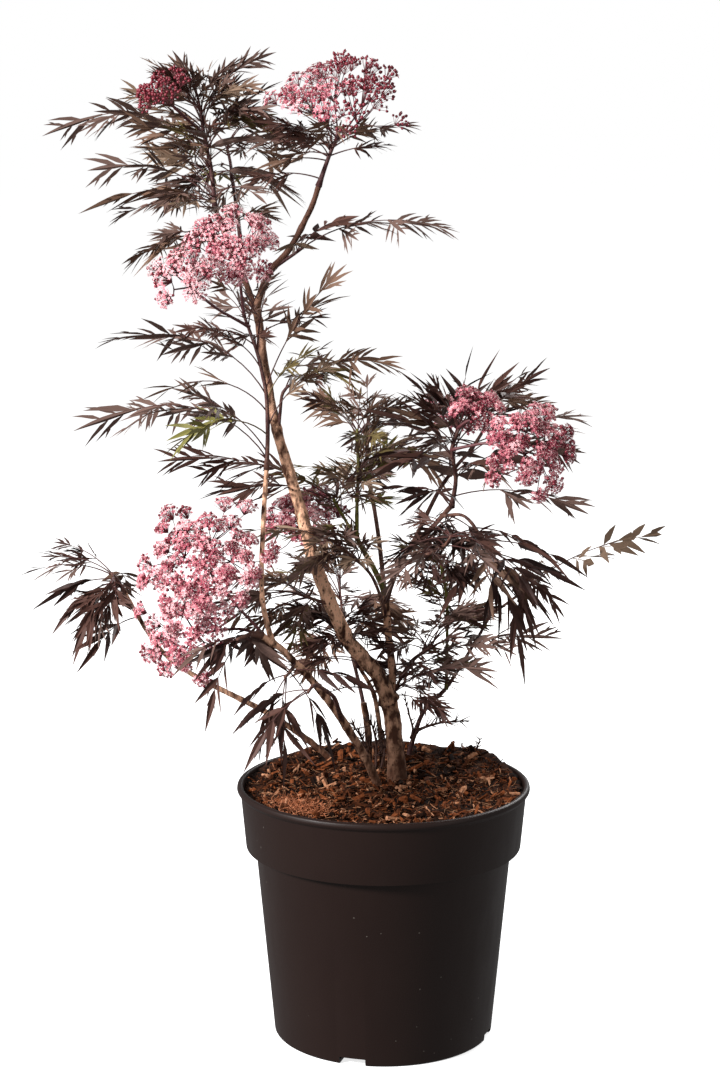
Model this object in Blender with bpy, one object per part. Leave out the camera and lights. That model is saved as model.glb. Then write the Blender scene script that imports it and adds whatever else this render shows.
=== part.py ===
"""Potted black elder: a lacy dark-leaved shrub with pink blossom in a plain nursery pot.

Metres, +Z up. The origin is the middle of the pot's flat underside and the side that
faces the camera looks along -Y. Stems are tapering tubes through a few named places.
Each mass of foliage grows by one seeded rule: opposite leaves on a young stem, leaflets
on each leaf, and whatever would touch a neighbour is left out.
"""

import math
import random
from collections import namedtuple

import bmesh
import bpy
from mathutils import Matrix, Vector
from mathutils.bvhtree import BVHTree

MM = 0.001
GAP = 0.3 * MM
UP = Vector((0.0, 0.0, 1.0))

# Pot: five-litre nursery pot, 230 mm across the rim
POT_HEIGHT = 202 * MM
RIM_RADIUS = 115 * MM
COLLAR_TOP_RADIUS = 112 * MM
COLLAR_FOOT_RADIUS = 108 * MM
COLLAR_FOOT_HEIGHT = 154 * MM
LEDGE_HEIGHT = 142 * MM
BODY_TOP_RADIUS = 99.5 * MM
FOOT_RADIUS = 86.3 * MM
LIP_HEIGHT = 5 * MM
ROUNDING = 1.5 * MM
LEDGE_DEPTH = 8 * MM
LEDGE_TAPER = 4 * MM
UNDER_LIP = 2 * MM
WALL = 1.8 * MM
FLOOR = 3 * MM
POT_SIDES = 32
FLAT_SAG = RIM_RADIUS * (1 - math.cos(math.pi / POT_SIDES))
NOTCH_COUNT = 4
NOTCH_WIDTH = 21 * MM
NOTCH_HEIGHT = 6 * MM
NOTCH_DEPTH = 20 * MM
NOTCH_INSET = 4 * MM
FIRST_NOTCH_BEARING = math.radians(-106)

# Soil: level round the stems, lower at the rim, heaped at the back right
GROUND = 198.5 * MM
SOIL_EDGE_DROP = 3 * MM
HEAP_RISE = 9 * MM
HEAP_BEARING = math.radians(48)
HEAP_HALF_WIDTH = math.radians(50)
HEAP_OVER_RIM = 5 * MM
SOIL_TO_WALL = 2 * MM
CRUMB = 2.2 * MM
LEVEL_REACH = 44 * MM
LEVEL_FADE = 30 * MM
LEVEL_FROM = Vector((0.0, 5 * MM))
LEVEL_TO = Vector((-5 * MM, 70 * MM))
SOIL_RINGS = 7
SOIL_SIDES = 24

# Stems
LIMB_STEP = 22 * MM
TRUNK_SIDES = 8
LIMB_SIDES = 6
SHOOT_SIDES = 5
FLARE = 1.5 * MM
FLARE_HEIGHT = 12 * MM
BURIED = 6 * MM
TIP = 1.0
NEARLY_UPRIGHT = 0.95
HARDLY_LEVEL = 0.15

# Leaves
RIB_RADIUS = 1.05 * MM
RIB_TIP_RADIUS = 0.6 * MM
RIB_END = 0.72
PAIR_WINDOW = 1.5 * MM
LONG_LEAF = 112 * MM
PAIRS_OF_SHORT = ((0.36, 0.38), (0.56, 0.36))
PAIRS_OF_LONG = ((0.28, 0.32), (0.44, 0.35), (0.60, 0.33))
END_LEAFLET = 0.36
PAIR_SIZE = (0.85, 1.10)
END_SIZE = (0.90, 1.05)
LEAF_SIZE = (0.92, 1.08)
LEAFLET_WIDTH = 0.20
LEAFLET_THICKNESS = 1.1 * MM
WIDEST = 0.42
SPREAD = (36, 50)
ROLL = (15, 75)
SAG = 0.18
SAG_AT_MIDDLE = 0.12
SAG_AT_TIP = 0.50
FIRST_PAIR = 0.10
LAST_PAIR = 0.92
BEARING_JITTER = 14
RISE_JITTER = 8
CLEARANCE = 0.45 * MM
ROOT_LENGTH = 5 * MM
ROOT_NARROWING = 0.6
STEM_FOOT = 1.25
STEM_END = 1.1
LEAST_LEAFLETS = 2
END_SUNK = 4 * MM

# Blossom
RAYS = 4
RAY_RADIUS = 0.8 * MM
STALK_RADIUS = 1.2 * MM
STALK_END = 0.9
SPOKES = 12
LOBE_DEPTH = 0.30
SHORTEST_SPOKE = 0.92
SPOKE_JITTER = 0.2
HEIGHT_JITTER = 0.08
RAY_END = (0.45, 0.75)
DOME_UNDER = (0.62, 0.52)
DOME_RIM = (1.0, 0.70)
DOME_OVER = (0.58, 1.12)
DOME_BOTTOM = (0.0, 0.62)
DOME_TOP = (0.0, 1.22)

Limb = namedtuple("Limb", "carrier at foot tip route")
LIMBS = {
    "trunk": Limb(None, 0, 6.9, 6.4, [(11, 20), (9, 20, 228), (7, 21, 247), (4, 22, 263)]),
    "main_stem": Limb("trunk", TIP, 6.3, 2.9, [
        (-5, 18, 284), (-28, 10, 314), (-39, 4, 339), (-54, 0, 379), (-62, 0, 411),
        (-79, 2, 469), (-87, 5, 503), (-92, 6, 534), (-97, 6, 576)]),
    "second_stem": Limb("trunk", 0.86, 3.2, 2.7, [
        (7, 32, 285), (4, 36, 308), (1, 38, 346)]),
    "upper_right_bough": Limb("main_stem", TIP, 2.7, 1.9, [
        (-88, 4, 599), (-72, 0, 618), (-54, -5, 652), (-49, -8, 667)]),
    "leader": Limb("main_stem", 0.965, 2.5, 1.9, [
        (-107, 12, 596), (-119, 18, 622), (-129, 22, 648)]),
    "left_bough": Limb(None, 0, 3.6, 2.5, [
        (-2, -2), (-14, -10, 224), (-44, -32, 278), (-78, -55, 322), (-93, -62, 334)]),
    "left_upright": Limb("left_bough", 0.93, 2.1, 1.7, [
        (-91, -61, 360), (-91, -54, 405), (-88, -44, 458)]),
    "low_left_bough": Limb(None, 0, 2.7, 1.6, [
        (-35, 75), (-56, 72, 212), (-92, 64, 240), (-155, 52, 277), (-182, 46, 303),
        (-205, 38, 346)]),
    "green_stem": Limb("second_stem", TIP, 2.3, 1.3, [
        (-9, 36, 368), (-20, 34, 388), (-21, 30, 421)]),
    "right_bough": Limb("second_stem", 0.93, 2.3, 1.8, [
        (13, 30, 372), (25, 22, 389), (36, 14, 401), (52, 0, 422)]),
    "low_right_bough": Limb(None, 0, 2.0, 1.1, [
        (18, 80), (25, 80, 218), (33, 79, 239), (50, 77, 258), (70, 75, 291), (86, 74, 320)]),
    "side_stem": Limb(None, 0, 2.5, 1.5, [
        (0, 50), (-3, 48, 232), (-8, 46, 262), (-20, 40, 286)]),
    "cut_stub": Limb(None, 0, 2.8, 2.6, [(-12, 52), (-12, 51, 228), (-16, 50, 253)]),
    "back_top_bough": Limb("leader", 0.35, 1.9, 1.4, [
        (-114, 58, 640), (-120, 92, 668)]),
    "back_middle_bough": Limb("second_stem", 0.80, 2.1, 1.5, [
        (-4, 84, 380), (-12, 118, 424)]),
    "back_right_bough": Limb("right_bough", 0.45, 1.8, 1.4, [
        (46, 60, 428), (70, 92, 452)]),
    "back_low_bough": Limb(None, 0, 2.1, 1.4, [
        (-12, 84), (-16, 100, 236), (-30, 128, 290)]),
    "front_left_bough": Limb("left_bough", 0.42, 2.0, 1.4, [
        (-38, -68, 288), (-48, -92, 302)]),
    "front_right_bough": Limb("right_bough", 0.30, 1.8, 1.4, [
        (26, -20, 384), (40, -54, 398)]),
}

OLD_WOOD_LIMBS = ("trunk", "main_stem", "second_stem", "upper_right_bough", "leader", "left_bough",
                  "left_upright", "low_left_bough", "side_stem", "cut_stub")

Mass = namedtuple("Mass", "carrier at route pairs turn step rise bend leaf favour toward end seed")
MASSES = {
    "leaves_top_left": Mass("leader", TIP, [(-131, 21, 672), (-137, 19, 706), (-139, 18, 721)],
                            2, 120, 72, (35, 70), 60, (82, 76), 0.1, 180, 0.0, 11),
    "leaves_leader_left": Mass("leader", 0.62, [(-130, 14, 626), (-139, 8, 628)],
                               1, 100, 90, (15, 15), 55, (70, 70), 0.0, 180, 1.0, 12),
    "leaves_top_right": Mass("upper_right_bough", TIP, [
        (-43, -11, 684), (-39, -12, 694), (-36, -12, 701)],
        1, 90, 80, (40, 40), 55, (66, 66), 0.0, 180, 0.0, 13),
    "leaves_right_arch": Mass("upper_right_bough", 0.30, [(-68, -2, 615), (-60, -5, 621)],
                              1, 85, 90, (35, 35), 56, (52, 52), 0.0, 0, 2.4, 14),
    "leaves_left_upright": Mass("left_upright", TIP, [
        (-87, -43, 486), (-88, -42, 513), (-95, -42, 546), (-104, -42, 572)],
        1, 105, 70, (60, 60), 60, (76, 76), 0.0, 190, 0.0, 15),
    "leaves_middle_right": Mass("main_stem", 0.70, [(-77, -3, 510), (-68, -7, 519)],
                                1, 70, 90, (60, 60), 66, (70, 70), 0.0, 0, 1.36, 32),
    "leaves_green_stem": Mass("green_stem", TIP, [(-20, 28, 445), (-21, 26, 478)],
                              2, 85, 74, (35, 60), 50, (70, 64), 0.0, 0, 0.0, 16),
    "leaves_olive_arch": Mass("green_stem", 0.55, [(-29, 27, 404), (-40, 22, 425)],
                              0, 60, 75, (25, 45), 50, (74, 68), 0.0, 0, 0.0, 17),
    "leaves_middle_left": Mass("second_stem", 0.80, [(-10, 18, 364), (-34, -8, 392)],
                               0, 60, 75, (15, 35), 50, (64, 60), 0.0, 0, 0.0, 18),
    "leaves_middle_low": Mass("main_stem", 0.28, [(-54, -8, 350), (-66, -16, 356)],
                              0, 150, 70, (10, 25), 60, (68, 64), 0.0, 0, 0.0, 33),
    "leaves_right_crown": Mass("right_bough", TIP, [
        (55, -4, 443), (52, -8, 466), (57, -10, 484)],
        2, 80, 60, (30, 55), 58, (96, 88), 0.0, 10, 0.0, 19),
    "leaves_right_droop": Mass("right_bough", 0.88, [
        (62, -14, 416), (77, -22, 397), (85, -26, 380)],
        1, 95, 60, (-10, -10), 50, (60, 60), 0.0, 0, 0.0, 20),
    "leaves_far_right": Mass("low_right_bough", TIP, [(104, 72, 334), (122, 68, 350)],
                             1, 80, 90, (30, 30), 34, (44, 52), 0.0, 0, 2.05, 21),
    "leaves_low_right": Mass("second_stem", 0.12, [(20, 30, 290), (38, 24, 306)],
                             2, 60, 80, (10, 40), 50, (76, 72), 0.0, 0, 0.0, 22),
    "leaves_right_upright": Mass("low_right_bough", 0.52, [
        (51, 68, 300), (50, 60, 340), (45, 54, 368)],
        3, 20, 74, (25, 60), 50, (62, 54), 0.0, 0, 0.0, 34),
    "leaves_low_left": Mass("low_left_bough", TIP, [(-209, 37, 354), (-215, 36, 362)],
                            1, 80, 62, (0, 0), 60, (60, 60), 0.0, 180, 0.0, 23),
    "leaves_left_cluster": Mass("left_bough", TIP, [(-99, -68, 336), (-110, -80, 334)],
                                1, 80, 55, (-5, -5), 60, (64, 64), 0.0, 0, 0.0, 24),
    "leaves_left_node": Mass("left_bough", 0.79, [(-70, -62, 306), (-74, -74, 304)],
                             0, 60, 75, (-20, 0), 45, (54, 50), 0.0, 0, 0.0, 35),
    "leaves_inner": Mass("side_stem", TIP, [(-26, 38, 300), (-38, 34, 316)],
                         2, 150, 60, (0, 30), 40, (64, 60), 0.0, 0, 0.9, 25),
    "leaves_back_top": Mass("back_top_bough", TIP, [(-122, 102, 680), (-125, 108, 692)],
                            2, 60, 75, (15, 40), 55, (92, 86), 0.1, 90, 0.7, 26),
    "leaves_back_middle": Mass("back_middle_bough", TIP, [(-14, 128, 440), (-14, 134, 456)],
                               2, 50, 75, (15, 40), 55, (98, 90), 0.1, 90, 0.8, 27),
    "leaves_back_right": Mass("back_right_bough", TIP, [(80, 104, 466), (86, 112, 480)],
                              2, 30, 75, (15, 35), 55, (90, 84), 0.1, 60, 0.8, 28),
    "leaves_back_low": Mass("back_low_bough", TIP, [(-34, 136, 306), (-36, 142, 320)],
                            2, 60, 75, (5, 30), 50, (90, 84), 0.1, 90, 0.9, 29),
    "leaves_front_left": Mass("front_left_bough", TIP, [(-52, -99, 304), (-56, -106, 300)],
                              0, 60, 75, (-35, -10), 50, (64, 58), 0.0, 0, 0.0, 30),
    "leaves_front_right": Mass("front_right_bough", TIP, [(46, -66, 404), (50, -74, 412)],
                               2, 35, 80, (5, 20), 55, (66, 62), 0.0, 0, 0.9, 31),
}

# Single leaves that stand out: share of the stem, bearing, first rise, bend and length
SHOWN = {
    "leaves_top_left": [
        (0.36, 167, 67, 112, 146), (0.06, 182, 50, 72, 98), (0.04, 172, 28, 60, 92),
        (0.07, 196, 12, 44, 80), (0.88, 188, 45, 60, 66), (0.97, 180, 65, 45, 62),
        (0.95, 0, 72, 64, 72), (0.84, 10, 80, 46, 64), (0.72, -25, 62, 90, 66),
        (0.45, 165, 20, 60, 60), (0.66, 205, 62, 70, 84), (0.36, 215, 58, 66, 84),
        (0.58, 150, 66, 66, 90), (0.97, 80, 66, 40, 54)],
    "leaves_top_right": [
        (0.12, 178, 20, 46, 58), (0.60, 180, 32, 44, 62), (0.72, 187, 56, 74, 66),
        (0.52, 202, 14, 38, 52), (0.80, 0, 36, 44, 66), (0.62, -16, 22, 26, 52),
        (0.86, 215, 68, 34, 46)],
    "leaves_left_upright": [
        (0.06, 180, 58, 100, 150), (0.10, 192, 60, 50, 86), (0.47, 180, 62, 90, 134),
        (0.50, -8, 72, 30, 112), (0.80, 195, 40, 60, 62), (0.84, 10, 40, 50, 58)],
    "leaves_green_stem": [
        (0.30, 188, 78, 44, 56), (0.40, -5, 66, 36, 54), (0.14, 186, 56, 76, 58),
        (0.20, 8, 52, 26, 70)],
    "leaves_olive_arch": [
        (0.95, 184, 38, 50, 138), (0.86, 196, 34, 60, 110), (0.92, 5, 46, 40, 66)],
    "leaves_middle_left": [
        (0.93, 196, 38, 58, 92), (0.60, -100, 40, 60, 64), (0.80, 215, 20, 70, 62)],
    "leaves_middle_low": [
        (0.90, 185, 20, 60, 72), (0.70, 215, 4, 60, 66), (0.80, 160, 36, 60, 68),
        (0.50, 246, -12, 50, 58)],
    "leaves_right_crown": [
        (0.62, 180, 50, 42, 72), (0.56, 200, 30, 50, 66), (0.84, 178, 68, 32, 60),
        (0.93, 60, 82, 24, 60), (0.90, 15, 74, 30, 70), (0.74, 15, 52, 28, 94),
        (0.48, 16, 45, 54, 116), (0.36, 28, 34, 46, 96), (0.12, -6, 18, 48, 100),
        (0.10, 186, 28, 40, 54), (0.44, -45, 34, 86, 64)],
    "leaves_right_droop": [
        (0.94, -20, -62, 24, 82), (0.88, 10, -44, 38, 70), (0.80, -8, -24, 34, 76),
        (0.70, 10, 2, 42, 76), (0.52, 18, -4, 34, 58), (0.72, 184, 34, 46, 46)],
    "leaves_low_right": [
        (0.30, -4, 42, 52, 126), (0.60, 10, 58, 50, 92), (0.90, -12, 36, 52, 86),
        (0.50, -70, 30, 60, 62), (0.45, 24, 66, 40, 98), (0.95, -36, 60, 60, 84),
        (0.20, -50, 8, 50, 66)],
    "leaves_low_left": [
        (0.80, 180, 30, 60, 74), (0.60, 160, 66, 50, 60), (0.50, 190, -6, 60, 58),
        (0.40, 208, -30, 50, 60), (0.70, 150, 46, 50, 64), (0.60, 230, -60, 30, 66)],
    "leaves_left_cluster": [
        (0.85, 190, -20, 60, 66), (0.75, 215, -40, 46, 62), (0.60, 170, 8, 50, 62),
        (0.80, 240, -52, 30, 56), (0.90, -150, 10, 60, 50)],
    "leaves_left_node": [
        (0.70, 200, -50, 40, 60), (0.85, -95, -60, 24, 70), (0.60, -15, -46, 34, 66),
        (0.50, 0, 8, 40, 56), (0.80, 172, -12, 50, 44)],
    "leaves_front_left": [
        (0.90, 205, -20, 50, 62), (0.70, -110, -34, 40, 62), (0.50, 250, -6, 60, 56),
        (0.80, 165, 0, 60, 60)],
}

Umbel = namedtuple("Umbel", "carrier at route axis width height lobes seed")
UMBELS = {
    "blossom_top_right": Umbel("leaves_top_right", TIP, [(-35, -12, 708)],
                               (0.0, -0.55, 1), 112, 46, 6, 41),
    "blossom_top_left": Umbel("leaves_top_left", 0.76, [(-149, 4, 716), (-160, -6, 727)],
                              (-0.5, -0.5, 1), 50, 16, 4, 42),
    "blossom_upper_left": Umbel("leaves_left_upright", TIP, [(-106, -44, 590), (-107, -48, 611)],
                                (0.05, -0.85, 0.6), 82, 26, 5, 43),
    "blossom_upper_left_low": Umbel("leaves_left_upright", 0.93, [
        (-124, -62, 580), (-142, -80, 597)], (-0.3, -0.8, 0.5), 58, 16, 4, 44),
    "blossom_middle_left": Umbel("left_bough", 0.94, [(-112, -60, 358), (-130, -62, 382)],
                                 (-0.2, -0.8, 0.5), 114, 26, 6, 45),
    "blossom_low_left": Umbel("left_bough", 0.87, [(-106, -44, 334), (-143, -46, 331)],
                              (-0.3, -0.8, 0.3), 86, 24, 5, 46),
    "blossom_inner": Umbel("main_stem", 0.32, [(-58, 28, 372), (-62, 44, 391)],
                           (-0.2, -0.45, 0.85), 82, 22, 5, 47),
    "blossom_right": Umbel("leaves_right_crown", TIP, [(62, -14, 489), (67, -18, 491)],
                           (0.1, -0.8, 0.6), 54, 16, 4, 48),
    "blossom_far_right": Umbel("leaves_right_crown", 0.72, [
        (80, -26, 474), (106, -38, 468)], (0.25, -0.9, 0.35), 86, 22, 5, 49),
    "blossom_back": Umbel("back_right_bough", 0.70, [(54, 104, 450), (60, 124, 466)],
                          (0.0, 0.6, 1), 70, 20, 5, 50),
}

WOOD = (0.30, 0.20, 0.13)
YOUNG_WOOD = (0.12, 0.05, 0.04)
GREEN_WOOD = (0.14, 0.13, 0.04)
LEAF_BLACK = (0.030, 0.018, 0.020)
LEAF_OLIVE = (0.060, 0.055, 0.020)
PINK = (0.62, 0.20, 0.28)
POT_BLACK = (0.018, 0.017, 0.017)
MULCH = (0.12, 0.045, 0.022)

Stem = namedtuple("Stem", "points radii axis")
Leaf = namedtuple("Leaf", "rib leaflets")
Leaflet = namedtuple("Leaflet", "station side root middle front top tip")


# Routes and stems

def real(place):
    """A place written in millimetres; with no height given it is just under the ground."""
    height = place[2] * MM if len(place) == 3 else GROUND - BURIED
    return Vector((place[0] * MM, place[1] * MM, height))


def smooth_route(places, step):
    """Points about one step apart on a smooth curve through the places."""
    places = [2 * places[0] - places[1], *places, 2 * places[-1] - places[-2]]
    points = [places[1]]
    for before, start, end, after in zip(places, places[1:], places[2:], places[3:]):
        count = max(1, round((end - start).length / step))
        for k in range(1, count + 1):
            t = k / count
            bend = (2 * before - 5 * start + 4 * end - after) * t * t
            swing = (3 * start - before - 3 * end + after) * t * t * t
            points.append(0.5 * (2 * start + (end - before) * t + bend + swing))
    return points


def along(stem, share):
    """The point at a share of a stem's length, the way it heads there and its radius."""
    lengths = [(b - a).length for a, b in zip(stem.points, stem.points[1:])]
    left = share * sum(lengths)
    for k, length in enumerate(lengths):
        if left <= length or k == len(lengths) - 1:
            break
        left -= length
    t = min(1.0, left / length)
    start, end = stem.points[k], stem.points[k + 1]
    radius = stem.radii[k] + (stem.radii[k + 1] - stem.radii[k]) * t
    return start.lerp(end, t), (end - start).normalized(), radius


def seated_stem(carrier, at, route, foot, tip, step):
    """A tapering stem that starts face to face with its carrier's tip or inside its side."""
    places = [real(place) for place in route]
    axis = None
    if carrier:
        start, heading, _ = along(carrier, at)
        if at == TIP:
            start = start + heading * GAP
            axis = heading
        places.insert(0, start)
    points = smooth_route(places, step)
    last = len(points) - 1
    radii = [foot + (tip - foot) * k / last for k in range(last + 1)]
    return Stem(points, radii, axis)


def all_stems():
    """Every limb's, mass's and umbel's own stem, carriers before what they carry."""
    stems = {}
    for name, limb in LIMBS.items():
        stems[name] = seated_stem(stems.get(limb.carrier), limb.at, limb.route,
                                  limb.foot * MM, limb.tip * MM, LIMB_STEP)
    trunk = stems["trunk"]
    for k, point in enumerate(trunk.points):
        rise = max(0.0, point.z - GROUND)
        trunk.radii[k] += FLARE * math.exp(-rise / FLARE_HEIGHT)
    for name, mass in MASSES.items():
        carrier = stems[mass.carrier]
        foot = carrier.radii[-1] if mass.at == TIP else RIB_RADIUS * STEM_FOOT
        stems[name] = seated_stem(carrier, mass.at, mass.route, foot, RIB_RADIUS * STEM_END,
                                  LIMB_STEP)
    for name, umbel in UMBELS.items():
        carrier = stems[umbel.carrier]
        foot = carrier.radii[-1] if umbel.at == TIP else STALK_RADIUS
        stems[name] = seated_stem(carrier, umbel.at, umbel.route, foot,
                                  STALK_RADIUS * STALK_END, LIMB_STEP)
    return stems


# The growing rule

def level_across(forward):
    """A level direction across the way a rib or a leaflet runs, to its right."""
    across = forward.cross(UP)
    if across.length < HARDLY_LEVEL:
        across = Vector((0.0, 1.0, 0.0))
    return (across - forward * across.dot(forward)).normalized()


def grow_leaflet(rng, station, side, root, forward, direction, length):
    """Where one leaflet is widest, which way its edge and its upper side turn, its tip."""
    if side:
        front = forward
    else:
        front = level_across(forward)
    front = (front - direction * front.dot(direction)).normalized()
    top = direction.cross(front)
    if top.z < 0:
        top = -top
    roll = Matrix.Rotation(math.radians(rng.uniform(*ROLL)) * rng.choice((-1, 1)), 3, direction)
    half = length * LEAFLET_WIDTH / 2
    middle = root + direction * length * WIDEST - UP * length * SAG * SAG_AT_MIDDLE
    tip = root + direction * length - UP * length * SAG * SAG_AT_TIP
    return Leaflet(station, side, root, middle, roll @ front * half, roll @ top, tip)


def grow_leaf(rng, base, bearing, rise, bend, length):
    """One leaf: its rib arches over evenly from its first rise, angles in degrees."""
    level = Vector((math.cos(math.radians(bearing)), math.sin(math.radians(bearing)), 0.0))
    rise, bend = math.radians(rise), math.radians(bend)

    def course(share):
        lift = rise - bend * share
        return level * math.cos(lift) + UP * math.sin(lift)

    def rib(share):
        lift = rise - bend * share
        out = (math.sin(rise) - math.sin(lift)) / bend
        high = (math.cos(lift) - math.cos(rise)) / bend
        return base + length * (level * out + UP * high)

    pairs = PAIRS_OF_LONG if length > LONG_LEAF else PAIRS_OF_SHORT
    window = PAIR_WINDOW / length
    shares = [0.0]
    for place, _ in pairs:
        shares += [place - window, place + window]
    shares.append(RIB_END)
    radii = [RIB_RADIUS + (RIB_TIP_RADIUS - RIB_RADIUS) * share / RIB_END for share in shares]
    leaflets = []
    for k, (place, reach) in enumerate(pairs):
        for side in (-1, 1):
            forward = course(place)
            spread = math.radians(rng.uniform(*SPREAD))
            direction = forward * math.cos(spread)
            direction += level_across(forward) * side * math.sin(spread)
            direction = (direction - UP * rng.uniform(0.0, 2 * SAG)).normalized()
            size = length * reach * rng.uniform(*PAIR_SIZE)
            leaflets.append(grow_leaflet(rng, 1 + 2 * k, side, rib(place), forward,
                                         direction, size))
    forward = course(RIB_END)
    size = length * END_LEAFLET * rng.uniform(*END_SIZE)
    leaflets.append(grow_leaflet(rng, len(shares) - 1, 0, rib(RIB_END), forward, forward, size))
    return Leaf(Stem([rib(share) for share in shares], radii, None), leaflets)


def leaves_wanted(name, mass, stem):
    """The leaves that stand out, then opposite pairs up the stem, then one at its end."""
    rng = random.Random(mass.seed)
    for share, bearing, rise, bend, length in SHOWN.get(name, ()):
        base, _, _ = along(stem, share)
        yield grow_leaf(rng, base, bearing, rise, bend, length * MM)
    for k in range(mass.pairs):
        share = k / (mass.pairs - 1) if mass.pairs > 1 else 0.8
        base, _, _ = along(stem, FIRST_PAIR + (LAST_PAIR - FIRST_PAIR) * share)
        rise = mass.rise[0] + (mass.rise[1] - mass.rise[0]) * share
        size = mass.leaf[0] + (mass.leaf[1] - mass.leaf[0]) * share
        for half in (0, 180):
            bearing = mass.turn + mass.step * k + half
            bearing += rng.uniform(-BEARING_JITTER, BEARING_JITTER)
            bias = 1 + mass.favour * math.cos(math.radians(bearing - mass.toward))
            length = size * MM * bias * rng.uniform(*LEAF_SIZE)
            lift = rise + rng.uniform(-RISE_JITTER, RISE_JITTER)
            yield grow_leaf(rng, base, bearing, lift, mass.bend, length)
    if mass.end:
        base, heading, _ = along(stem, TIP)
        bearing = math.degrees(math.atan2(heading.y, heading.x))
        rise = math.degrees(math.asin(heading.z))
        length = mass.leaf[1] * mass.end * MM
        yield grow_leaf(rng, base - heading * END_SUNK, bearing, rise, mass.bend, length)


def touches(solid, taken):
    """Whether a solid's skin crosses any skin on the list."""
    tree = BVHTree.FromPolygons(*solid)
    return any(tree.overlap(other) for other in taken)


def outside_rib(rib):
    """The rib without the root that is sunk in its stem, grown by the clearance."""
    start = rib.points[0] + (rib.points[1] - rib.points[0]).normalized() * ROOT_LENGTH
    radii = [radius + CLEARANCE for radius in rib.radii]
    return tube(Stem([start, *rib.points[1:]], radii, None), 3)


def outside_leaflet(leaflet):
    """The leaflet from just beyond its rib to its tip, grown by the clearance."""
    direction = (leaflet.tip - leaflet.root).normalized()
    edge = leaflet.front * (1 + CLEARANCE / leaflet.front.length)
    over = leaflet.top * (LEAFLET_THICKNESS + CLEARANCE)
    under = -leaflet.top * CLEARANCE
    start = leaflet.root + direction * 3 * RIB_RADIUS
    tip = leaflet.tip + direction * 2 * CLEARANCE
    corners = [
        start - edge * 0.2 + under, start + edge * 0.2 + under, start + over * 0.5,
        leaflet.middle - edge + under, leaflet.middle + edge + under, leaflet.middle + over,
        tip,
    ]
    faces = [(0, 1, 2), (0, 3, 4, 1), (1, 4, 5, 2), (2, 5, 3, 0), (3, 6, 4), (4, 6, 5), (5, 6, 3)]
    return corners, faces


def kept_leaves(name, mass, stem, taken):
    """The wanted leaves and leaflets that touch nothing, each added to what is taken."""
    kept = []
    for leaf in leaves_wanted(name, mass, stem):
        if touches(outside_rib(leaf.rib), taken):
            continue
        leaflets = [leaflet for leaflet in leaf.leaflets
                    if not touches(outside_leaflet(leaflet), taken)]
        if len(leaflets) < LEAST_LEAFLETS:
            continue
        kept.append(Leaf(leaf.rib, leaflets))
        taken.append(BVHTree.FromPolygons(*leaf_solid(kept[-1])))
    return kept


def umbel_frame(umbel):
    """The umbel's axis and two level directions across it."""
    axis = Vector(umbel.axis).normalized()
    across = axis.cross(Vector((0.0, 1.0, 0.0))).normalized()
    return axis, across, axis.cross(across)


def umbel_plan(umbel, stem):
    """The hub, the ends of its rays, and the rings of the lobed flower dome."""
    rng = random.Random(umbel.seed)
    hub = stem.points[-1]
    axis, across, along_it = umbel_frame(umbel)
    radius, height = umbel.width * MM / 2, umbel.height * MM

    def place(angle, spot, reach=1.0, dip=0.0):
        direction = across * math.cos(angle) + along_it * math.sin(angle)
        return hub + direction * radius * spot[0] * reach + axis * height * (spot[1] + dip)

    turn = rng.uniform(0, math.tau)
    rays = [place(turn + math.tau * k / RAYS, RAY_END) for k in range(RAYS)]
    rings = [], [], []
    for k in range(SPOKES):
        angle = math.tau * (k + rng.uniform(-SPOKE_JITTER, SPOKE_JITTER)) / SPOKES
        wave = 0.5 - 0.5 * math.cos(umbel.lobes * angle + turn)
        reach = (1 - LOBE_DEPTH * wave) * rng.uniform(SHORTEST_SPOKE, 1.0)
        dip = rng.uniform(-HEIGHT_JITTER, HEIGHT_JITTER)
        for ring, spot in zip(rings, (DOME_UNDER, DOME_RIM, DOME_OVER)):
            ring.append(place(angle, spot, reach, dip))
    return hub, rays, rings, place(0, DOME_BOTTOM), place(0, DOME_TOP)


# Solids as lists of corners and faces

def tube(stem, sides):
    """A closed tube with flat ends: one ring of corners round each point of the stem."""
    points = stem.points
    corners, faces = [], []
    across = None
    for k, point in enumerate(points):
        heading = points[min(k + 1, len(points) - 1)] - points[max(k - 1, 0)]
        heading.normalize()
        if k == 0 and stem.axis:
            heading = stem.axis
        if across is None:
            sideways = heading.cross(UP)
            across = sideways if abs(heading.z) < NEARLY_UPRIGHT else Vector((1.0, 0.0, 0.0))
        across = (across - heading * across.dot(heading)).normalized()
        upward = heading.cross(across)
        for side in range(sides):
            angle = math.tau * side / sides
            out = across * math.cos(angle) + upward * math.sin(angle)
            corners.append(point + out * stem.radii[k])
    for ring in range(len(points) - 1):
        for side in range(sides):
            a = ring * sides + side
            b = ring * sides + (side + 1) % sides
            faces.append((a, b, b + sides, a + sides))
    faces.append(tuple(reversed(range(sides))))
    faces.append(tuple(range(len(corners) - sides, len(corners))))
    return corners, faces


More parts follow.
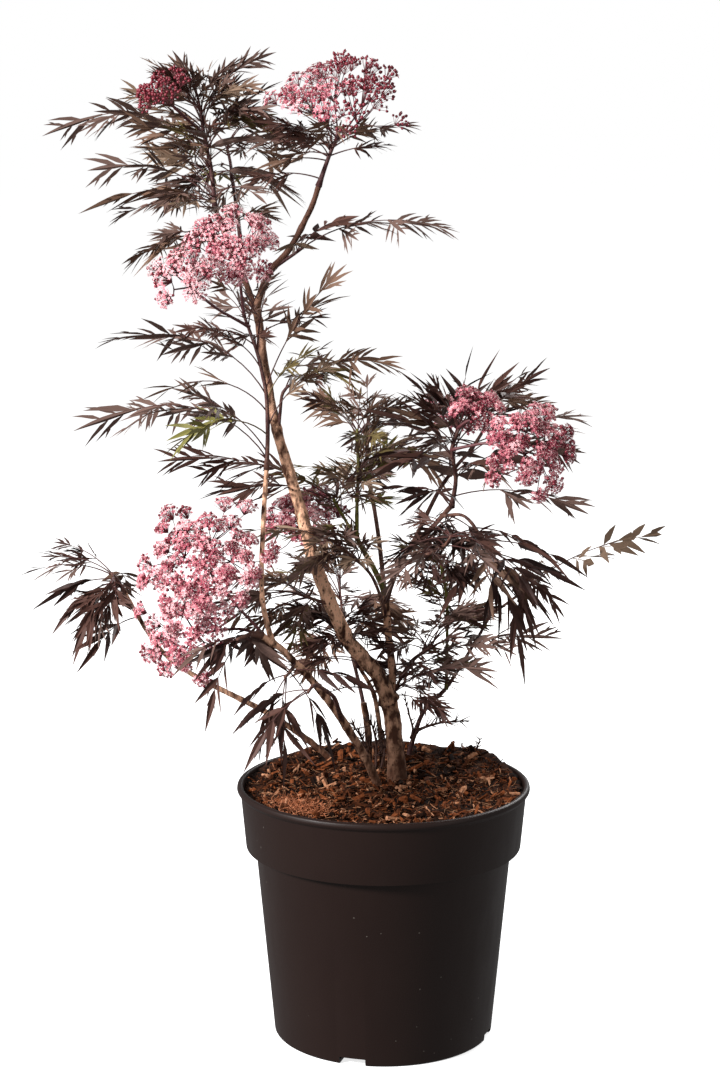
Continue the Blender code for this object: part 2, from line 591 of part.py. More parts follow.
def leaf_solid(leaf):
    """One closed solid: a three-sided rib, each leaflet drawn out of one of its faces."""
    rib = leaf.rib
    corners, faces = [], []
    last = len(rib.points) - 1
    for k, point in enumerate(rib.points):
        forward = (rib.points[min(k + 1, last)] - rib.points[max(k - 1, 0)]).normalized()
        reach = rib.radii[k] * (ROOT_NARROWING if k == 0 else 1)
        across = level_across(forward) * reach
        over = across.cross(forward)
        corners += [point - across + over * 0.5, point - over, point + across + over * 0.5]
    drawn = {(leaflet.station, leaflet.side): leaflet for leaflet in leaf.leaflets}

    def draw_out(leaflet):
        corners.append(leaflet.middle - leaflet.front)
        corners.append(leaflet.middle + leaflet.front)
        corners.append(leaflet.middle + leaflet.top * LEAFLET_THICKNESS)
        corners.append(leaflet.tip)
        rear, front, ridge, tip = range(len(corners) - 4, len(corners))
        faces.extend([(rear, ridge, tip), (ridge, front, tip), (front, rear, tip)])
        return rear, front, ridge

    for k in range(last):
        left, low, right = 3 * k, 3 * k + 1, 3 * k + 2
        faces.append((left, right, right + 3, left + 3))
        for side, outer in ((-1, left), (1, right)):
            leaflet = drawn.get((k, side))
            if leaflet is None:
                faces.append((outer, outer + 3, low + 3, low))
                continue
            rear, front, ridge = draw_out(leaflet)
            faces.extend([
                (low, outer, rear), (outer, ridge, rear), (outer, outer + 3, ridge),
                (outer + 3, front, ridge), (outer + 3, low + 3, front),
                (low + 3, low, rear, front)])
    left, low, right = 3 * last, 3 * last + 1, 3 * last + 2
    end = drawn.get((last, 0))
    if end is None:
        faces.append((left, low, right))
    else:
        rear, front, ridge = draw_out(end)
        if (corners[front] - corners[rear]).dot(corners[right] - corners[left]) < 0:
            rear, front = front, rear
        faces.extend([(left, right, ridge), (left, ridge, rear), (right, front, ridge),
                      (left, rear, low), (right, low, front), (low, rear, front)])
    faces.append((0, 1, 2))
    return corners, faces


def umbel_solids(umbel, stem):
    """The rays of one umbel and the lobed dome of blossom that they carry."""
    hub, rays, rings, bottom, top = umbel_plan(umbel, stem)
    axis, _, _ = umbel_frame(umbel)
    solids = []
    for end in rays:
        points = [hub - axis * MM, end]
        solids.append(tube(Stem(points, [RAY_RADIUS, RAY_RADIUS], None), 3))
    corners = [bottom, *rings[0], *rings[1], *rings[2], top]
    last = len(corners) - 1
    faces = []
    for k in range(SPOKES):
        nxt = (k + 1) % SPOKES
        faces.append((0, 1 + nxt, 1 + k))
        for ring in (1, 1 + SPOKES):
            faces.append((ring + k, ring + nxt, ring + nxt + SPOKES, ring + k + SPOKES))
        faces.append((last - SPOKES + k, last - SPOKES + nxt, last))
    solids.append((corners, faces))
    return solids


# Objects

def clear_scene():
    for obj in list(bpy.data.objects):
        bpy.data.objects.remove(obj, do_unlink=True)


def material(name, colour, roughness):
    made = bpy.data.materials.new(name)
    made.use_nodes = True
    shader = made.node_tree.nodes["Principled BSDF"]
    shader.inputs["Base Color"].default_value = (*colour, 1.0)
    shader.inputs["Roughness"].default_value = roughness
    shader.inputs["Metallic"].default_value = 0.0
    return made


def mesh_object(name, solid, collection=None):
    """A new object from corners and faces, its normals turned outward."""
    corners, faces = solid
    mesh = bpy.data.meshes.new(name)
    mesh.from_pydata([tuple(corner) for corner in corners], [], faces)
    work = bmesh.new()
    work.from_mesh(mesh)
    bmesh.ops.recalc_face_normals(work, faces=work.faces)
    work.to_mesh(mesh)
    work.free()
    obj = bpy.data.objects.new(name, mesh)
    (collection or bpy.context.scene.collection).objects.link(obj)
    return obj


def combine(obj, solids, operation):
    """One Boolean of the object with a collection of solids, applied at once."""
    if not solids:
        return
    group = bpy.data.collections.new(obj.name + "_pieces")
    bpy.context.scene.collection.children.link(group)
    for solid in solids:
        mesh_object("piece", solid, group)
    cut = obj.modifiers.new("Combine", "BOOLEAN")
    cut.operation = operation
    cut.operand_type = "COLLECTION"
    cut.collection = group
    cut.solver = "EXACT"
    with bpy.context.temp_override(object=obj):
        bpy.ops.object.modifier_apply(modifier=cut.name)
    for piece in list(group.objects):
        bpy.data.objects.remove(piece, do_unlink=True)
    bpy.data.collections.remove(group)


def keep_largest_body(obj):
    """Drop loose scraps and sealed hollows, so that one closed body stays."""
    work = bmesh.new()
    work.from_mesh(obj.data)
    left = set(work.faces)
    bodies = []
    while left:
        body = [left.pop()]
        for face in body:
            for edge in face.edges:
                if len(edge.link_faces) != 2:
                    continue
                for other in edge.link_faces:
                    if other in left:
                        left.remove(other)
                        body.append(other)
        bodies.append(body)
    bodies.sort(key=len)
    scraps = [face for body in bodies[:-1] for face in body]
    bmesh.ops.delete(work, geom=scraps, context="FACES")
    bmesh.ops.recalc_face_normals(work, faces=work.faces)
    work.to_mesh(obj.data)
    work.free()


def cut_at_ground(obj):
    """Flat cut a hair above the soil, so the stem stands on it."""
    work = bmesh.new()
    work.from_mesh(obj.data)
    level = Vector((0.0, 0.0, GROUND + GAP))
    cut = bmesh.ops.bisect_plane(
        work, geom=[*work.verts, *work.edges, *work.faces], dist=1e-7,
        plane_co=level, plane_no=UP, clear_inner=True)
    rim = [item for item in cut["geom_cut"] if isinstance(item, bmesh.types.BMEdge)]
    bmesh.ops.contextual_create(work, geom=rim)
    bmesh.ops.recalc_face_normals(work, faces=work.faces)
    work.to_mesh(obj.data)
    work.free()


def grown_tube(stem, sides):
    """The stem with the touching gap all round, to cut what is seated on it."""
    shrink = math.cos(math.pi / sides)
    radii = [radius / shrink + GAP for radius in stem.radii]
    return tube(Stem(stem.points, radii, stem.axis), sides)


def smooth(obj, degrees):
    obj.data.shade_smooth()
    obj.data.set_sharp_from_angle(angle=math.radians(degrees))


def finish(obj, finish_material, degrees=40):
    obj.data.materials.clear()
    obj.data.materials.append(finish_material)
    smooth(obj, degrees)


# Pot and soil

def turned(profile, sides):
    """A closed solid turned from a profile that starts and ends on the axis."""
    corners, faces, rings = [], [], []
    for radius, height in profile:
        if radius == 0:
            rings.append([len(corners)] * sides)
            corners.append(Vector((0.0, 0.0, height)))
            continue
        rings.append(list(range(len(corners), len(corners) + sides)))
        for side in range(sides):
            angle = math.tau * side / sides
            corners.append(Vector((radius * math.cos(angle), radius * math.sin(angle), height)))
    for ring, following in zip(rings, rings[1:]):
        for side in range(sides):
            nxt = (side + 1) % sides
            face = [ring[side], ring[nxt], following[nxt], following[side]]
            faces.append(tuple(dict.fromkeys(face)))
    return corners, faces


def inner_profile(gap):
    """The pot's inside from rim to floor, moved inward by a gap."""
    inside = WALL + gap
    return [
        (COLLAR_TOP_RADIUS - inside, POT_HEIGHT - ROUNDING),
        (COLLAR_FOOT_RADIUS - inside, COLLAR_FOOT_HEIGHT),
        (COLLAR_FOOT_RADIUS - inside - LEDGE_TAPER, COLLAR_FOOT_HEIGHT - LEDGE_DEPTH),
        (BODY_TOP_RADIUS - inside, LEDGE_HEIGHT),
        (FOOT_RADIUS - inside, FLOOR + gap),
    ]


def pot_profile():
    lip = POT_HEIGHT - LIP_HEIGHT
    outside = [
        (0, 0),
        (FOOT_RADIUS - ROUNDING, 0),
        (FOOT_RADIUS, ROUNDING),
        (BODY_TOP_RADIUS, LEDGE_HEIGHT - WALL),
        (COLLAR_FOOT_RADIUS - LEDGE_TAPER, COLLAR_FOOT_HEIGHT - LEDGE_DEPTH - WALL),
        (COLLAR_FOOT_RADIUS, COLLAR_FOOT_HEIGHT - WALL),
        (COLLAR_TOP_RADIUS, lip - UNDER_LIP),
        (RIM_RADIUS - ROUNDING / 2, lip),
        (RIM_RADIUS, lip + ROUNDING),
        (RIM_RADIUS - ROUNDING / 3, POT_HEIGHT - ROUNDING / 2),
        (RIM_RADIUS - ROUNDING, POT_HEIGHT),
        (COLLAR_TOP_RADIUS - WALL + ROUNDING / 2, POT_HEIGHT),
    ]
    return [*outside, *inner_profile(0), (0, FLOOR)]


def box(centre, bearing, size):
    """A box at a place, turned about the vertical."""
    turn = Matrix.Rotation(bearing, 3, "Z")
    corners = [centre + turn @ Vector((x * size[0] / 2, y * size[1] / 2, z * size[2] / 2))
               for x in (-1, 1) for y in (-1, 1) for z in (-1, 1)]
    faces = [(0, 1, 3, 2), (4, 6, 7, 5), (0, 4, 5, 1), (2, 3, 7, 6), (0, 2, 6, 4), (1, 5, 7, 3)]
    return corners, faces


def build_pot():
    pot = mesh_object("pot", turned(pot_profile(), POT_SIDES))
    notches = []
    for k in range(NOTCH_COUNT):
        bearing = FIRST_NOTCH_BEARING + math.tau * k / NOTCH_COUNT
        out = Vector((math.cos(bearing), math.sin(bearing), 0.0)) * (FOOT_RADIUS - NOTCH_INSET)
        notches.append(box(out, bearing, (NOTCH_DEPTH, NOTCH_WIDTH, 2 * NOTCH_HEIGHT)))
    combine(pot, notches, "DIFFERENCE")
    finish(pot, material("pot_plastic", POT_BLACK, 0.42), 25)
    return pot


def soil_height(place, rng):
    """Level near the stems, lower at the rim, heaped at the back right, with crumbs."""
    span = LEVEL_TO - LEVEL_FROM
    share = max(0.0, min(1.0, (place - LEVEL_FROM).dot(span) / span.length_squared))
    away = (place - (LEVEL_FROM + span * share)).length
    fade = max(0.0, min(1.0, (away - LEVEL_REACH) / LEVEL_FADE))
    turn = math.atan2(place.y, place.x) - HEAP_BEARING
    heap = HEAP_RISE * math.exp(-(turn / HEAP_HALF_WIDTH) ** 2)
    return GROUND + fade * (heap - SOIL_EDGE_DROP + rng.uniform(-CRUMB, CRUMB))


def build_soil():
    rng = random.Random(7)
    wall = inner_profile(GAP + FLAT_SAG)
    edge_radius = wall[0][0] - SOIL_TO_WALL
    corners = [Vector((0.0, 0.0, GROUND))]
    faces = []
    for ring in range(1, SOIL_RINGS + 1):
        radius = edge_radius * ring / SOIL_RINGS
        for side in range(SOIL_SIDES):
            angle = math.tau * (side + 0.5 * (ring % 2)) / SOIL_SIDES
            flat = Vector((radius * math.cos(angle), radius * math.sin(angle)))
            height = min(soil_height(flat, rng), POT_HEIGHT + HEAP_OVER_RIM)
            corners.append(Vector((flat.x, flat.y, height)))
    for radius, height in wall[1:]:
        for side in range(SOIL_SIDES):
            angle = math.tau * side / SOIL_SIDES
            corners.append(Vector((radius * math.cos(angle), radius * math.sin(angle), height)))
    for side in range(SOIL_SIDES):
        faces.append((0, 1 + side, 1 + (side + 1) % SOIL_SIDES))
    for ring in range(SOIL_RINGS + len(wall) - 2):
        low = 1 + ring * SOIL_SIDES
        for side in range(SOIL_SIDES):
            nxt = (side + 1) % SOIL_SIDES
            a, b = low + side, low + nxt
            c, d = a + SOIL_SIDES, b + SOIL_SIDES
            if ring % 2 == 0 and ring < SOIL_RINGS - 1:
                faces += [(a, c, b), (b, c, d)]
            else:
                faces += [(a, c, d), (a, d, b)]
    faces.append(tuple(range(len(corners) - SOIL_SIDES, len(corners))))
    soil = mesh_object("soil", (corners, faces))
    finish(soil, material("mulch", MULCH, 0.95), 30)
    return soil


# The plant

def limb_sides(name):
    """Corners round a stem: most on the thickest, fewest on shoots and stalks."""
    if name in ("trunk", "main_stem"):
        return TRUNK_SIDES
    return LIMB_SIDES if name in LIMBS else SHOOT_SIDES


def carriers_to_clear(name, rows, stems):
    """Whatever this piece is seated on from the side, as grown cutters."""
    row = rows[name]
    cutters = []
    if row.carrier and row.at != TIP:
        cutters.append(grown_tube(stems[row.carrier], limb_sides(row.carrier)))
    return cutters


def build_limbs(stems):
    limbs = {}
    for name, limb in LIMBS.items():
        obj = mesh_object(name, tube(stems[name], limb_sides(name)))
        cutters = carriers_to_clear(name, LIMBS, stems)
        if name == "second_stem":
            cutters.append(grown_tube(stems["main_stem"], limb_sides("main_stem")))
        if name == "right_bough":
            cutters.append(grown_tube(stems["green_stem"], limb_sides("green_stem")))
        if name == "leader":
            cutters.append(grown_tube(stems["upper_right_bough"], limb_sides("leader")))
        combine(obj, cutters, "DIFFERENCE")
        if limb.carrier is None:
            cut_at_ground(obj)
        keep_largest_body(obj)
        limbs[name] = obj
    return limbs


def build_plant():
    stems = all_stems()
    limbs = build_limbs(stems)
    bark = material("bark", WOOD, 0.75)
    young = material("young_bark", YOUNG_WOOD, 0.5)
    green = material("green_bark", GREEN_WOOD, 0.5)
    for name, obj in limbs.items():
        if name == "green_stem":
            finish(obj, green)
        elif name in OLD_WOOD_LIMBS:
            finish(obj, bark)
        else:
            finish(obj, young)
    taken = [BVHTree.FromPolygons([v.co for v in obj.data.vertices],
                                  [tuple(p.vertices) for p in obj.data.polygons])
             for obj in limbs.values()]
    blossom = {name: umbel_solids(umbel, stems[name]) for name, umbel in UMBELS.items()}
    for name in [*MASSES, *UMBELS]:
        taken.append(BVHTree.FromPolygons(*tube(stems[name], SHOOT_SIDES)))
    for solids in blossom.values():
        taken += [BVHTree.FromPolygons(*solid) for solid in solids]
    pink = material("blossom_pink", PINK, 0.8)
    for name, solids in blossom.items():
        obj = mesh_object(name, tube(stems[name], SHOOT_SIDES))
        combine(obj, solids, "UNION")
        combine(obj, carriers_to_clear(name, UMBELS, stems), "DIFFERENCE")
        keep_largest_body(obj)
        finish(obj, pink, 30)
    black = material("leaf_black", LEAF_BLACK, 0.55)
    olive = material("leaf_olive", LEAF_OLIVE, 0.55)
    for name, mass in MASSES.items():
        kept = kept_leaves(name, mass, stems[name], taken)
        obj = mesh_object(name, tube(stems[name], SHOOT_SIDES))
        combine(obj, [leaf_solid(leaf) for leaf in kept], "UNION")
        combine(obj, carriers_to_clear(name, MASSES, stems), "DIFFERENCE")
        keep_largest_body(obj)
        finish(obj, olive if name in ("leaves_green_stem", "leaves_olive_arch") else black, 30)
        print(name, len(kept), "leaves", sum(len(leaf.leaflets) for leaf in kept), "leaflets")


clear_scene()
build_pot()
build_soil()
build_plant()
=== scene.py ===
# %% [markdown]
# # A potted black elder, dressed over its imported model
#
# A young elder with finely cut, nearly black leaves and pink flower heads stands in a plain
# nursery pot of bark mulch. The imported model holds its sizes: plain stems, plain leaflets and
# plain flower domes. This lesson keeps every one of those places and puts the fine things
# there. We load the model first, because everything that follows is placed by it.

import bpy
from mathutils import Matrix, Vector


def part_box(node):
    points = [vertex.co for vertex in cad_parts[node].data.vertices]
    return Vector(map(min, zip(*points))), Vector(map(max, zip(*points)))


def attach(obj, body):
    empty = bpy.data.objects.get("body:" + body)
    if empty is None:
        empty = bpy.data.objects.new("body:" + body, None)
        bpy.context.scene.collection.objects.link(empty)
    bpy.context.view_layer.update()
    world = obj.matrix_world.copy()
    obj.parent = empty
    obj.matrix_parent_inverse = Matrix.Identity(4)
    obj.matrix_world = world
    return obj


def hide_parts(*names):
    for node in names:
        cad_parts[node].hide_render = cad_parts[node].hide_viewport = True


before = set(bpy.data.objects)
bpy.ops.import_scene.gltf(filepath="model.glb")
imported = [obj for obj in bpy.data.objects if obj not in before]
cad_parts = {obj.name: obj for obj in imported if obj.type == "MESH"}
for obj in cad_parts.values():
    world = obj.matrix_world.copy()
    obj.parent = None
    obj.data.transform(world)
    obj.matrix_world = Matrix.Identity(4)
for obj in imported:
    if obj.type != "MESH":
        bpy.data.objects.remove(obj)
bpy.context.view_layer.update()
print("packed nodes:", len(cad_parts))

# %% [markdown]
# The rest comes with Blender and Python. Plants are made of many small repeats, so most of
# this file is arithmetic with vectors, and numpy turns lists of copies into one mesh.

# %% Libraries and units
import math
import random
from collections import namedtuple

import bmesh
import bpy
import numpy as np
from mathutils import Matrix, Vector, noise
from mathutils.bvhtree import BVHTree
from mathutils.kdtree import KDTree

MM = 0.001
UP = Vector((0.0, 0.0, 1.0))

# %% [markdown]
# The camera comes next, so that every later step can be looked at. The photograph was taken
# from a little above the crown, tilted down to the pot. Its place was worked out from the
# ellipses of the pot's rim and foot, which only one distance and one tilt can give.

# %% Camera
CAMERA_PLACE = (0.0, -1.9, 0.7464)
CAMERA_PITCH = math.radians(10.475)
CAMERA_YAW = math.radians(0.555)
LENS = 83.5
SENSOR = 36.0

camera = bpy.data.objects.new("camera", bpy.data.cameras.new("camera"))
bpy.context.scene.collection.objects.link(camera)
camera.location = CAMERA_PLACE
camera.rotation_euler = (math.pi / 2 - CAMERA_PITCH, 0.0, CAMERA_YAW)
camera.data.lens = LENS
camera.data.sensor_width = SENSOR
bpy.context.scene.camera = camera
print("camera", LENS, "mm")

# %% [markdown]
# A dark plant on white needs its light from one side, or it turns into a flat black shape. So
# the world looks white to the camera, but gives the plant a quarter of that light, as
# black cloths round a studio table do. A large soft lamp at the left models every stem, a
# weak one at the right opens the shade, and one behind draws bright edges.

# %% World and lamps
AMBIENT = 0.29
LAMPS = {
    "key": ((-2.2, -1.5, 1.6), 0.7, 150.0),
    "fill": ((1.9, -1.3, 0.9), 1.2, 5.0),
    "back": ((0.9, 1.6, 1.5), 1.0, 30.0),
}
AIM = Vector((-0.03, 0.0, 0.40))

world = bpy.data.worlds.new("studio")
world.use_nodes = True
bpy.context.scene.world = world
sky = world.node_tree
ray = sky.nodes.new("ShaderNodeLightPath")
glow = sky.nodes.new("ShaderNodeMapRange")
glow.inputs["To Min"].default_value = AMBIENT
sky.nodes["Background"].inputs["Color"].default_value = (1.0, 1.0, 1.0, 1.0)
sky.links.new(ray.outputs["Is Camera Ray"], glow.inputs["Value"])
sky.links.new(glow.outputs["Result"], sky.nodes["Background"].inputs["Strength"])
bpy.context.scene.view_settings.view_transform = "Standard"
for name, (place, size, power) in LAMPS.items():
    lamp = bpy.data.lights.new(name, "AREA")
    lamp.shape = "DISK"
    lamp.size = size
    lamp.energy = power
    holder = bpy.data.objects.new(name, lamp)
    holder.location = place
    holder.rotation_euler = (AIM - Vector(place)).to_track_quat("-Z", "Y").to_euler()
    bpy.context.scene.collection.objects.link(holder)
print("lamps:", ", ".join(LAMPS))

# %% [markdown]
# Finishes are node trees, and their arithmetic reads best as arithmetic. `Field` stands for a
# number that varies over a surface: adding or multiplying two of them adds a Math node. `Finish`
# is one material in the making. Its `node` method adds any other node: settings go first,
# then the values or links of its sockets.

# %% A small language for finishes
class Field:
    """A number on its way through a shader; arithmetic on it adds Math nodes."""

    def __init__(self, finish, socket):
        self.finish = finish
        self.socket = socket

    def math(self, operation, first, second):
        return self.finish.node("ShaderNodeMath", {"operation": operation}, {0: first, 1: second})

    def __add__(self, other):
        return self.math("ADD", self, other)

    def __radd__(self, other):
        return self.math("ADD", other, self)

    def __sub__(self, other):
        return self.math("SUBTRACT", self, other)

    def __rsub__(self, other):
        return self.math("SUBTRACT", other, self)

    def __mul__(self, other):
        return self.math("MULTIPLY", self, other)

    def __rmul__(self, other):
        return self.math("MULTIPLY", other, self)

    def __lt__(self, other):
        return self.math("LESS_THAN", self, other)

    def __gt__(self, other):
        return self.math("GREATER_THAN", self, other)


class Finish:
    """One material in the making, round its Principled shader."""

    def __init__(self, name, **fixed):
        self.material = bpy.data.materials.new(name)
        self.material.use_nodes = True
        self.tree = self.material.node_tree
        self.shader = self.tree.nodes["Principled BSDF"]
        for socket, value in fixed.items():
            self.feed(socket.replace("_", " "), value)

    def join(self, value, socket):
        if isinstance(value, Field):
            self.tree.links.new(value.socket, socket)
        else:
            socket.default_value = value

    def feed(self, socket, value):
        self.join(value, self.shader.inputs[socket])

    def node(self, kind, settings=None, values=None, output=0):
        made = self.tree.nodes.new(kind)
        for key, value in (settings or {}).items():
            setattr(made, key, value)
        for key, value in (values or {}).items():
            self.join(value, made.inputs[key])
        return Field(self, made.outputs[output])

    def place(self, stretch=(1.0, 1.0, 1.0)):
        """Where a point of the surface is, in metres, squeezed along an axis if need be."""
        spot = self.node("ShaderNodeTexCoord", output="Object")
        return self.node("ShaderNodeMapping", None, {"Vector": spot, "Scale": stretch})

    def noise(self, scale, detail=4.0, stretch=(1.0, 1.0, 1.0)):
        return self.node("ShaderNodeTexNoise", None, {
            "Vector": self.place(stretch), "Scale": scale, "Detail": detail})

    def dots(self, scale, stretch=(1.0, 1.0, 1.0)):
        """The distance to the nearest of many scattered dots, in dot spacings."""
        return self.node("ShaderNodeTexVoronoi", None, {
            "Vector": self.place(stretch), "Scale": scale})

    def between(self, field, low, high):
        """A field spread so that low becomes 0 and high becomes 1."""
        return self.node("ShaderNodeMapRange", None, {
            "Value": field, "From Min": low, "From Max": high})

    def mix(self, first, second, share):
        """Colour from first to second by share."""
        return self.node("ShaderNodeMix", {"data_type": "RGBA"}, {
            0: share, 6: first, 7: second}, output=2)

    def bump(self, height, strength, distance):
        self.feed("Normal", self.node("ShaderNodeBump", None, {
            "Height": height, "Strength": strength, "Distance": distance}))


def colour(red, green, blue):
    return (red, green, blue, 1.0)


# %% [markdown]
# Pieces reach the object through three calls: each rides on the one body and stands for the
# imported nodes that it replaces. `Sheaf` gathers the corners and faces of thousands of small
# things, so that they become one mesh in the end.

# %% Making pieces
def dress(obj, finish, slot, nodes=()):
    """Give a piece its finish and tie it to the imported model."""
    obj.data.materials.clear()
    obj.data.materials.append(finish.material)
    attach(obj, "root")
    if nodes:
        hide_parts(*nodes)
    obj.data.calc_loop_triangles()
    print(f"{obj.name}: {len(obj.data.loop_triangles)} triangles")


class Sheaf:
    """Corners and faces gathered for one piece."""

    def __init__(self):
        self.corners = []
        self.faces = []

    def add(self, corners, faces):
        start = len(self.corners)
        self.corners.extend(corners)
        self.faces.extend([[start + index for index in face] for face in faces])

    def copy(self, shape, turn, place):
        """One copy of a modelled shape, turned and scaled by a matrix and set at a place."""
        corners, faces = shape
        moved = corners @ np.array(turn).T + np.array(place)
        self.add(moved.tolist(), faces)

    def piece(self, name, finish, slot, nodes=(), smooth=False):
        if not self.faces:
            return
        mesh = bpy.data.meshes.new(name)
        mesh.from_pydata(self.corners, [], self.faces)
        obj = bpy.data.objects.new(name, mesh)
        bpy.context.scene.collection.objects.link(obj)
        if smooth:
            mesh.shade_smooth()
        dress(obj, finish, slot, nodes)


# %% [markdown]
# Hand-made pieces start from a primitive and are shaped in edit mode. These helpers do what the
# mouse would: deselect everything, add the primitive, pick corners by their place, and apply
# a modifier when the shape is done.

# %% Modelling helpers
def add_primitive(operator, name, **settings):
    """A new primitive alone in the selection, in edit mode with corners picked."""
    for other in list(bpy.context.selected_objects):
        other.select_set(False)
    operator(**settings)
    obj = bpy.context.active_object
    obj.name = name
    bpy.ops.object.mode_set(mode="EDIT")
    bpy.ops.mesh.select_mode(type="VERT")
    return obj


def pick(obj, test):
    """Select just the corners that pass a test on their place."""
    bpy.ops.mesh.select_all(action="DESELECT")
    work = bmesh.from_edit_mesh(obj.data)
    for corner in work.verts:
        corner.select = test(corner.co)
    work.select_flush(True)
    bmesh.update_edit_mesh(obj.data)


def leave_edit_mode():
    bpy.ops.object.mode_set(mode="OBJECT")


def apply_modifier(obj, kind, **settings):
    modifier = obj.modifiers.new(kind.title(), kind)
    for key, value in settings.items():
        setattr(modifier, key, value)
    bpy.context.view_layer.objects.active = obj
    bpy.ops.object.modifier_apply(modifier=modifier.name)


def shape_of(obj):
    """A modelled piece as arrays of corners and triangles; the piece itself goes."""
    obj.data.calc_loop_triangles()
    corners = np.array([corner.co[:] for corner in obj.data.vertices])
    faces = [list(triangle.vertices) for triangle in obj.data.loop_triangles]
    bpy.data.objects.remove(obj, do_unlink=True)
    return corners, faces


# %% [markdown]
# The floor is a wide disc of white paper. A glow of its own makes its far edge as bright as
# the world behind it, so no horizon shows and only a soft shadow is left under the pot. It is
# hidden from bounced light, so that it doesn't light the leaves from below.

# %% Floor
FLOOR_RADIUS = 30.0
FLOOR_WHITE = 0.80
FLOOR_GLOW = 1.0 - FLOOR_WHITE * AMBIENT

floor = add_primitive(bpy.ops.mesh.primitive_circle_add, "floor", vertices=64,
                      radius=FLOOR_RADIUS, fill_type="NGON")
leave_edit_mode()
floor_finish = Finish("floor_paper", Roughness=0.9, Emission_Strength=FLOOR_GLOW,
                      Emission_Color=colour(1.0, 1.0, 1.0), Specular_IOR_Level=0.0)
floor_finish.feed("Base Color", floor_finish.mix(
    colour(0.79, 0.79, 0.79), colour(0.81, 0.81, 0.81), floor_finish.noise(3.0)))
floor.data.materials.append(floor_finish.material)
floor.visible_diffuse = False
floor.visible_glossy = False

# %% [markdown]
# The pot is blown or pressed from thin black plastic: a tapering wall, a ledge where pots stack,
# a wide collar and a rolled lip. It could be turned from a profile with Screw, but one
# disc that is extruded ring by ring shows each step of the real form. The wall goes up
# outside, over the lip and down again inside, and the disc ends as the floor of the pot.

# %% Pot shell
POT_HEIGHT = 202 * MM
RIM_RADIUS = 115 * MM
COLLAR_TOP_RADIUS = 112 * MM
COLLAR_FOOT_RADIUS = 108 * MM
COLLAR_FOOT_HEIGHT = 154 * MM
LEDGE_DROP = 1.6 * MM
BODY_TOP_RADIUS = 100.4 * MM
FOOT_RADIUS = 86.3 * MM
LIP_HEIGHT = 5 * MM
WALL = 1.8 * MM
POT_FLOOR = 3 * MM
POT_SIDES = 144
EDGE_ROUNDING = 0.5 * MM

POT_RINGS = [
    (FOOT_RADIUS, 1.5 * MM),
    (BODY_TOP_RADIUS, COLLAR_FOOT_HEIGHT - LEDGE_DROP - WALL),
    (COLLAR_FOOT_RADIUS, COLLAR_FOOT_HEIGHT - WALL),
    (COLLAR_TOP_RADIUS, POT_HEIGHT - LIP_HEIGHT - 2 * MM),
    (RIM_RADIUS - 0.8 * MM, POT_HEIGHT - LIP_HEIGHT),
    (RIM_RADIUS, POT_HEIGHT - LIP_HEIGHT + 1.5 * MM),
    (RIM_RADIUS - 0.5 * MM, POT_HEIGHT - 1.0 * MM),
    (RIM_RADIUS - 2 * MM, POT_HEIGHT),
    (COLLAR_TOP_RADIUS - WALL + 0.8 * MM, POT_HEIGHT - 0.2 * MM),
    (COLLAR_TOP_RADIUS - WALL, POT_HEIGHT - 1.5 * MM),
    (COLLAR_FOOT_RADIUS - WALL, COLLAR_FOOT_HEIGHT),
    (BODY_TOP_RADIUS - WALL, COLLAR_FOOT_HEIGHT - LEDGE_DROP),
    (FOOT_RADIUS - WALL, POT_FLOOR),
]

pot = add_primitive(bpy.ops.mesh.primitive_circle_add, "pot_shell", vertices=POT_SIDES,
                    radius=FOOT_RADIUS - 1.5 * MM, fill_type="NGON")
radius, height = FOOT_RADIUS - 1.5 * MM, 0.0
for ring_radius, ring_height in POT_RINGS:
    bpy.ops.mesh.extrude_region_move(
        TRANSFORM_OT_translate={"value": (0.0, 0.0, ring_height - height)})
    widening = ring_radius / radius
    bpy.ops.transform.resize(value=(widening, widening, 1.0),
                             center_override=(0.0, 0.0, ring_height))
    radius, height = ring_radius, ring_height
bpy.ops.mesh.select_all(action="SELECT")
bpy.ops.mesh.normals_make_consistent(inside=False)
leave_edit_mode()
apply_modifier(pot, "BEVEL", width=EDGE_ROUNDING, segments=2, limit_method="ANGLE",
               angle_limit=math.radians(18))

# %% [markdown]
# Water leaves through notches in the foot, and the front one shows in the photograph as a bright
# gap. Each is cut by a Boolean with a small block, which keeps the plastic's thickness in
# view inside the gap. The shell is then shaded smooth, apart from the cut edges.

# %% Drain notches
NOTCH_COUNT = 4
NOTCH_WIDTH = 21 * MM
NOTCH_HEIGHT = 6 * MM
NOTCH_DEPTH = 20 * MM
FIRST_NOTCH_BEARING = math.radians(-106)

for k in range(NOTCH_COUNT):
    bearing = FIRST_NOTCH_BEARING + math.tau * k / NOTCH_COUNT
    out = FOOT_RADIUS - 4 * MM
    block = add_primitive(
        bpy.ops.mesh.primitive_cube_add, "notch_block", size=1.0,
        location=(out * math.cos(bearing), out * math.sin(bearing), 0.0),
        rotation=(0.0, 0.0, bearing), scale=(NOTCH_DEPTH, NOTCH_WIDTH, 2 * NOTCH_HEIGHT))
    leave_edit_mode()
    apply_modifier(pot, "BOOLEAN", operation="DIFFERENCE", object=block, solver="EXACT")
    bpy.data.objects.remove(block, do_unlink=True)
for other in list(bpy.context.selected_objects):
    other.select_set(False)
pot.select_set(True)
bpy.context.view_layer.objects.active = pot
bpy.ops.object.shade_smooth_by_angle(angle=math.radians(32))

# %% [markdown]
# Black plastic is never quite black. A slow noise makes the charcoal warmer and cooler, a
# stretched one changes the gloss as handling does, and a few pale dots are dust and splashes.
# The dots only show where another noise is high, so that they come in small groups.

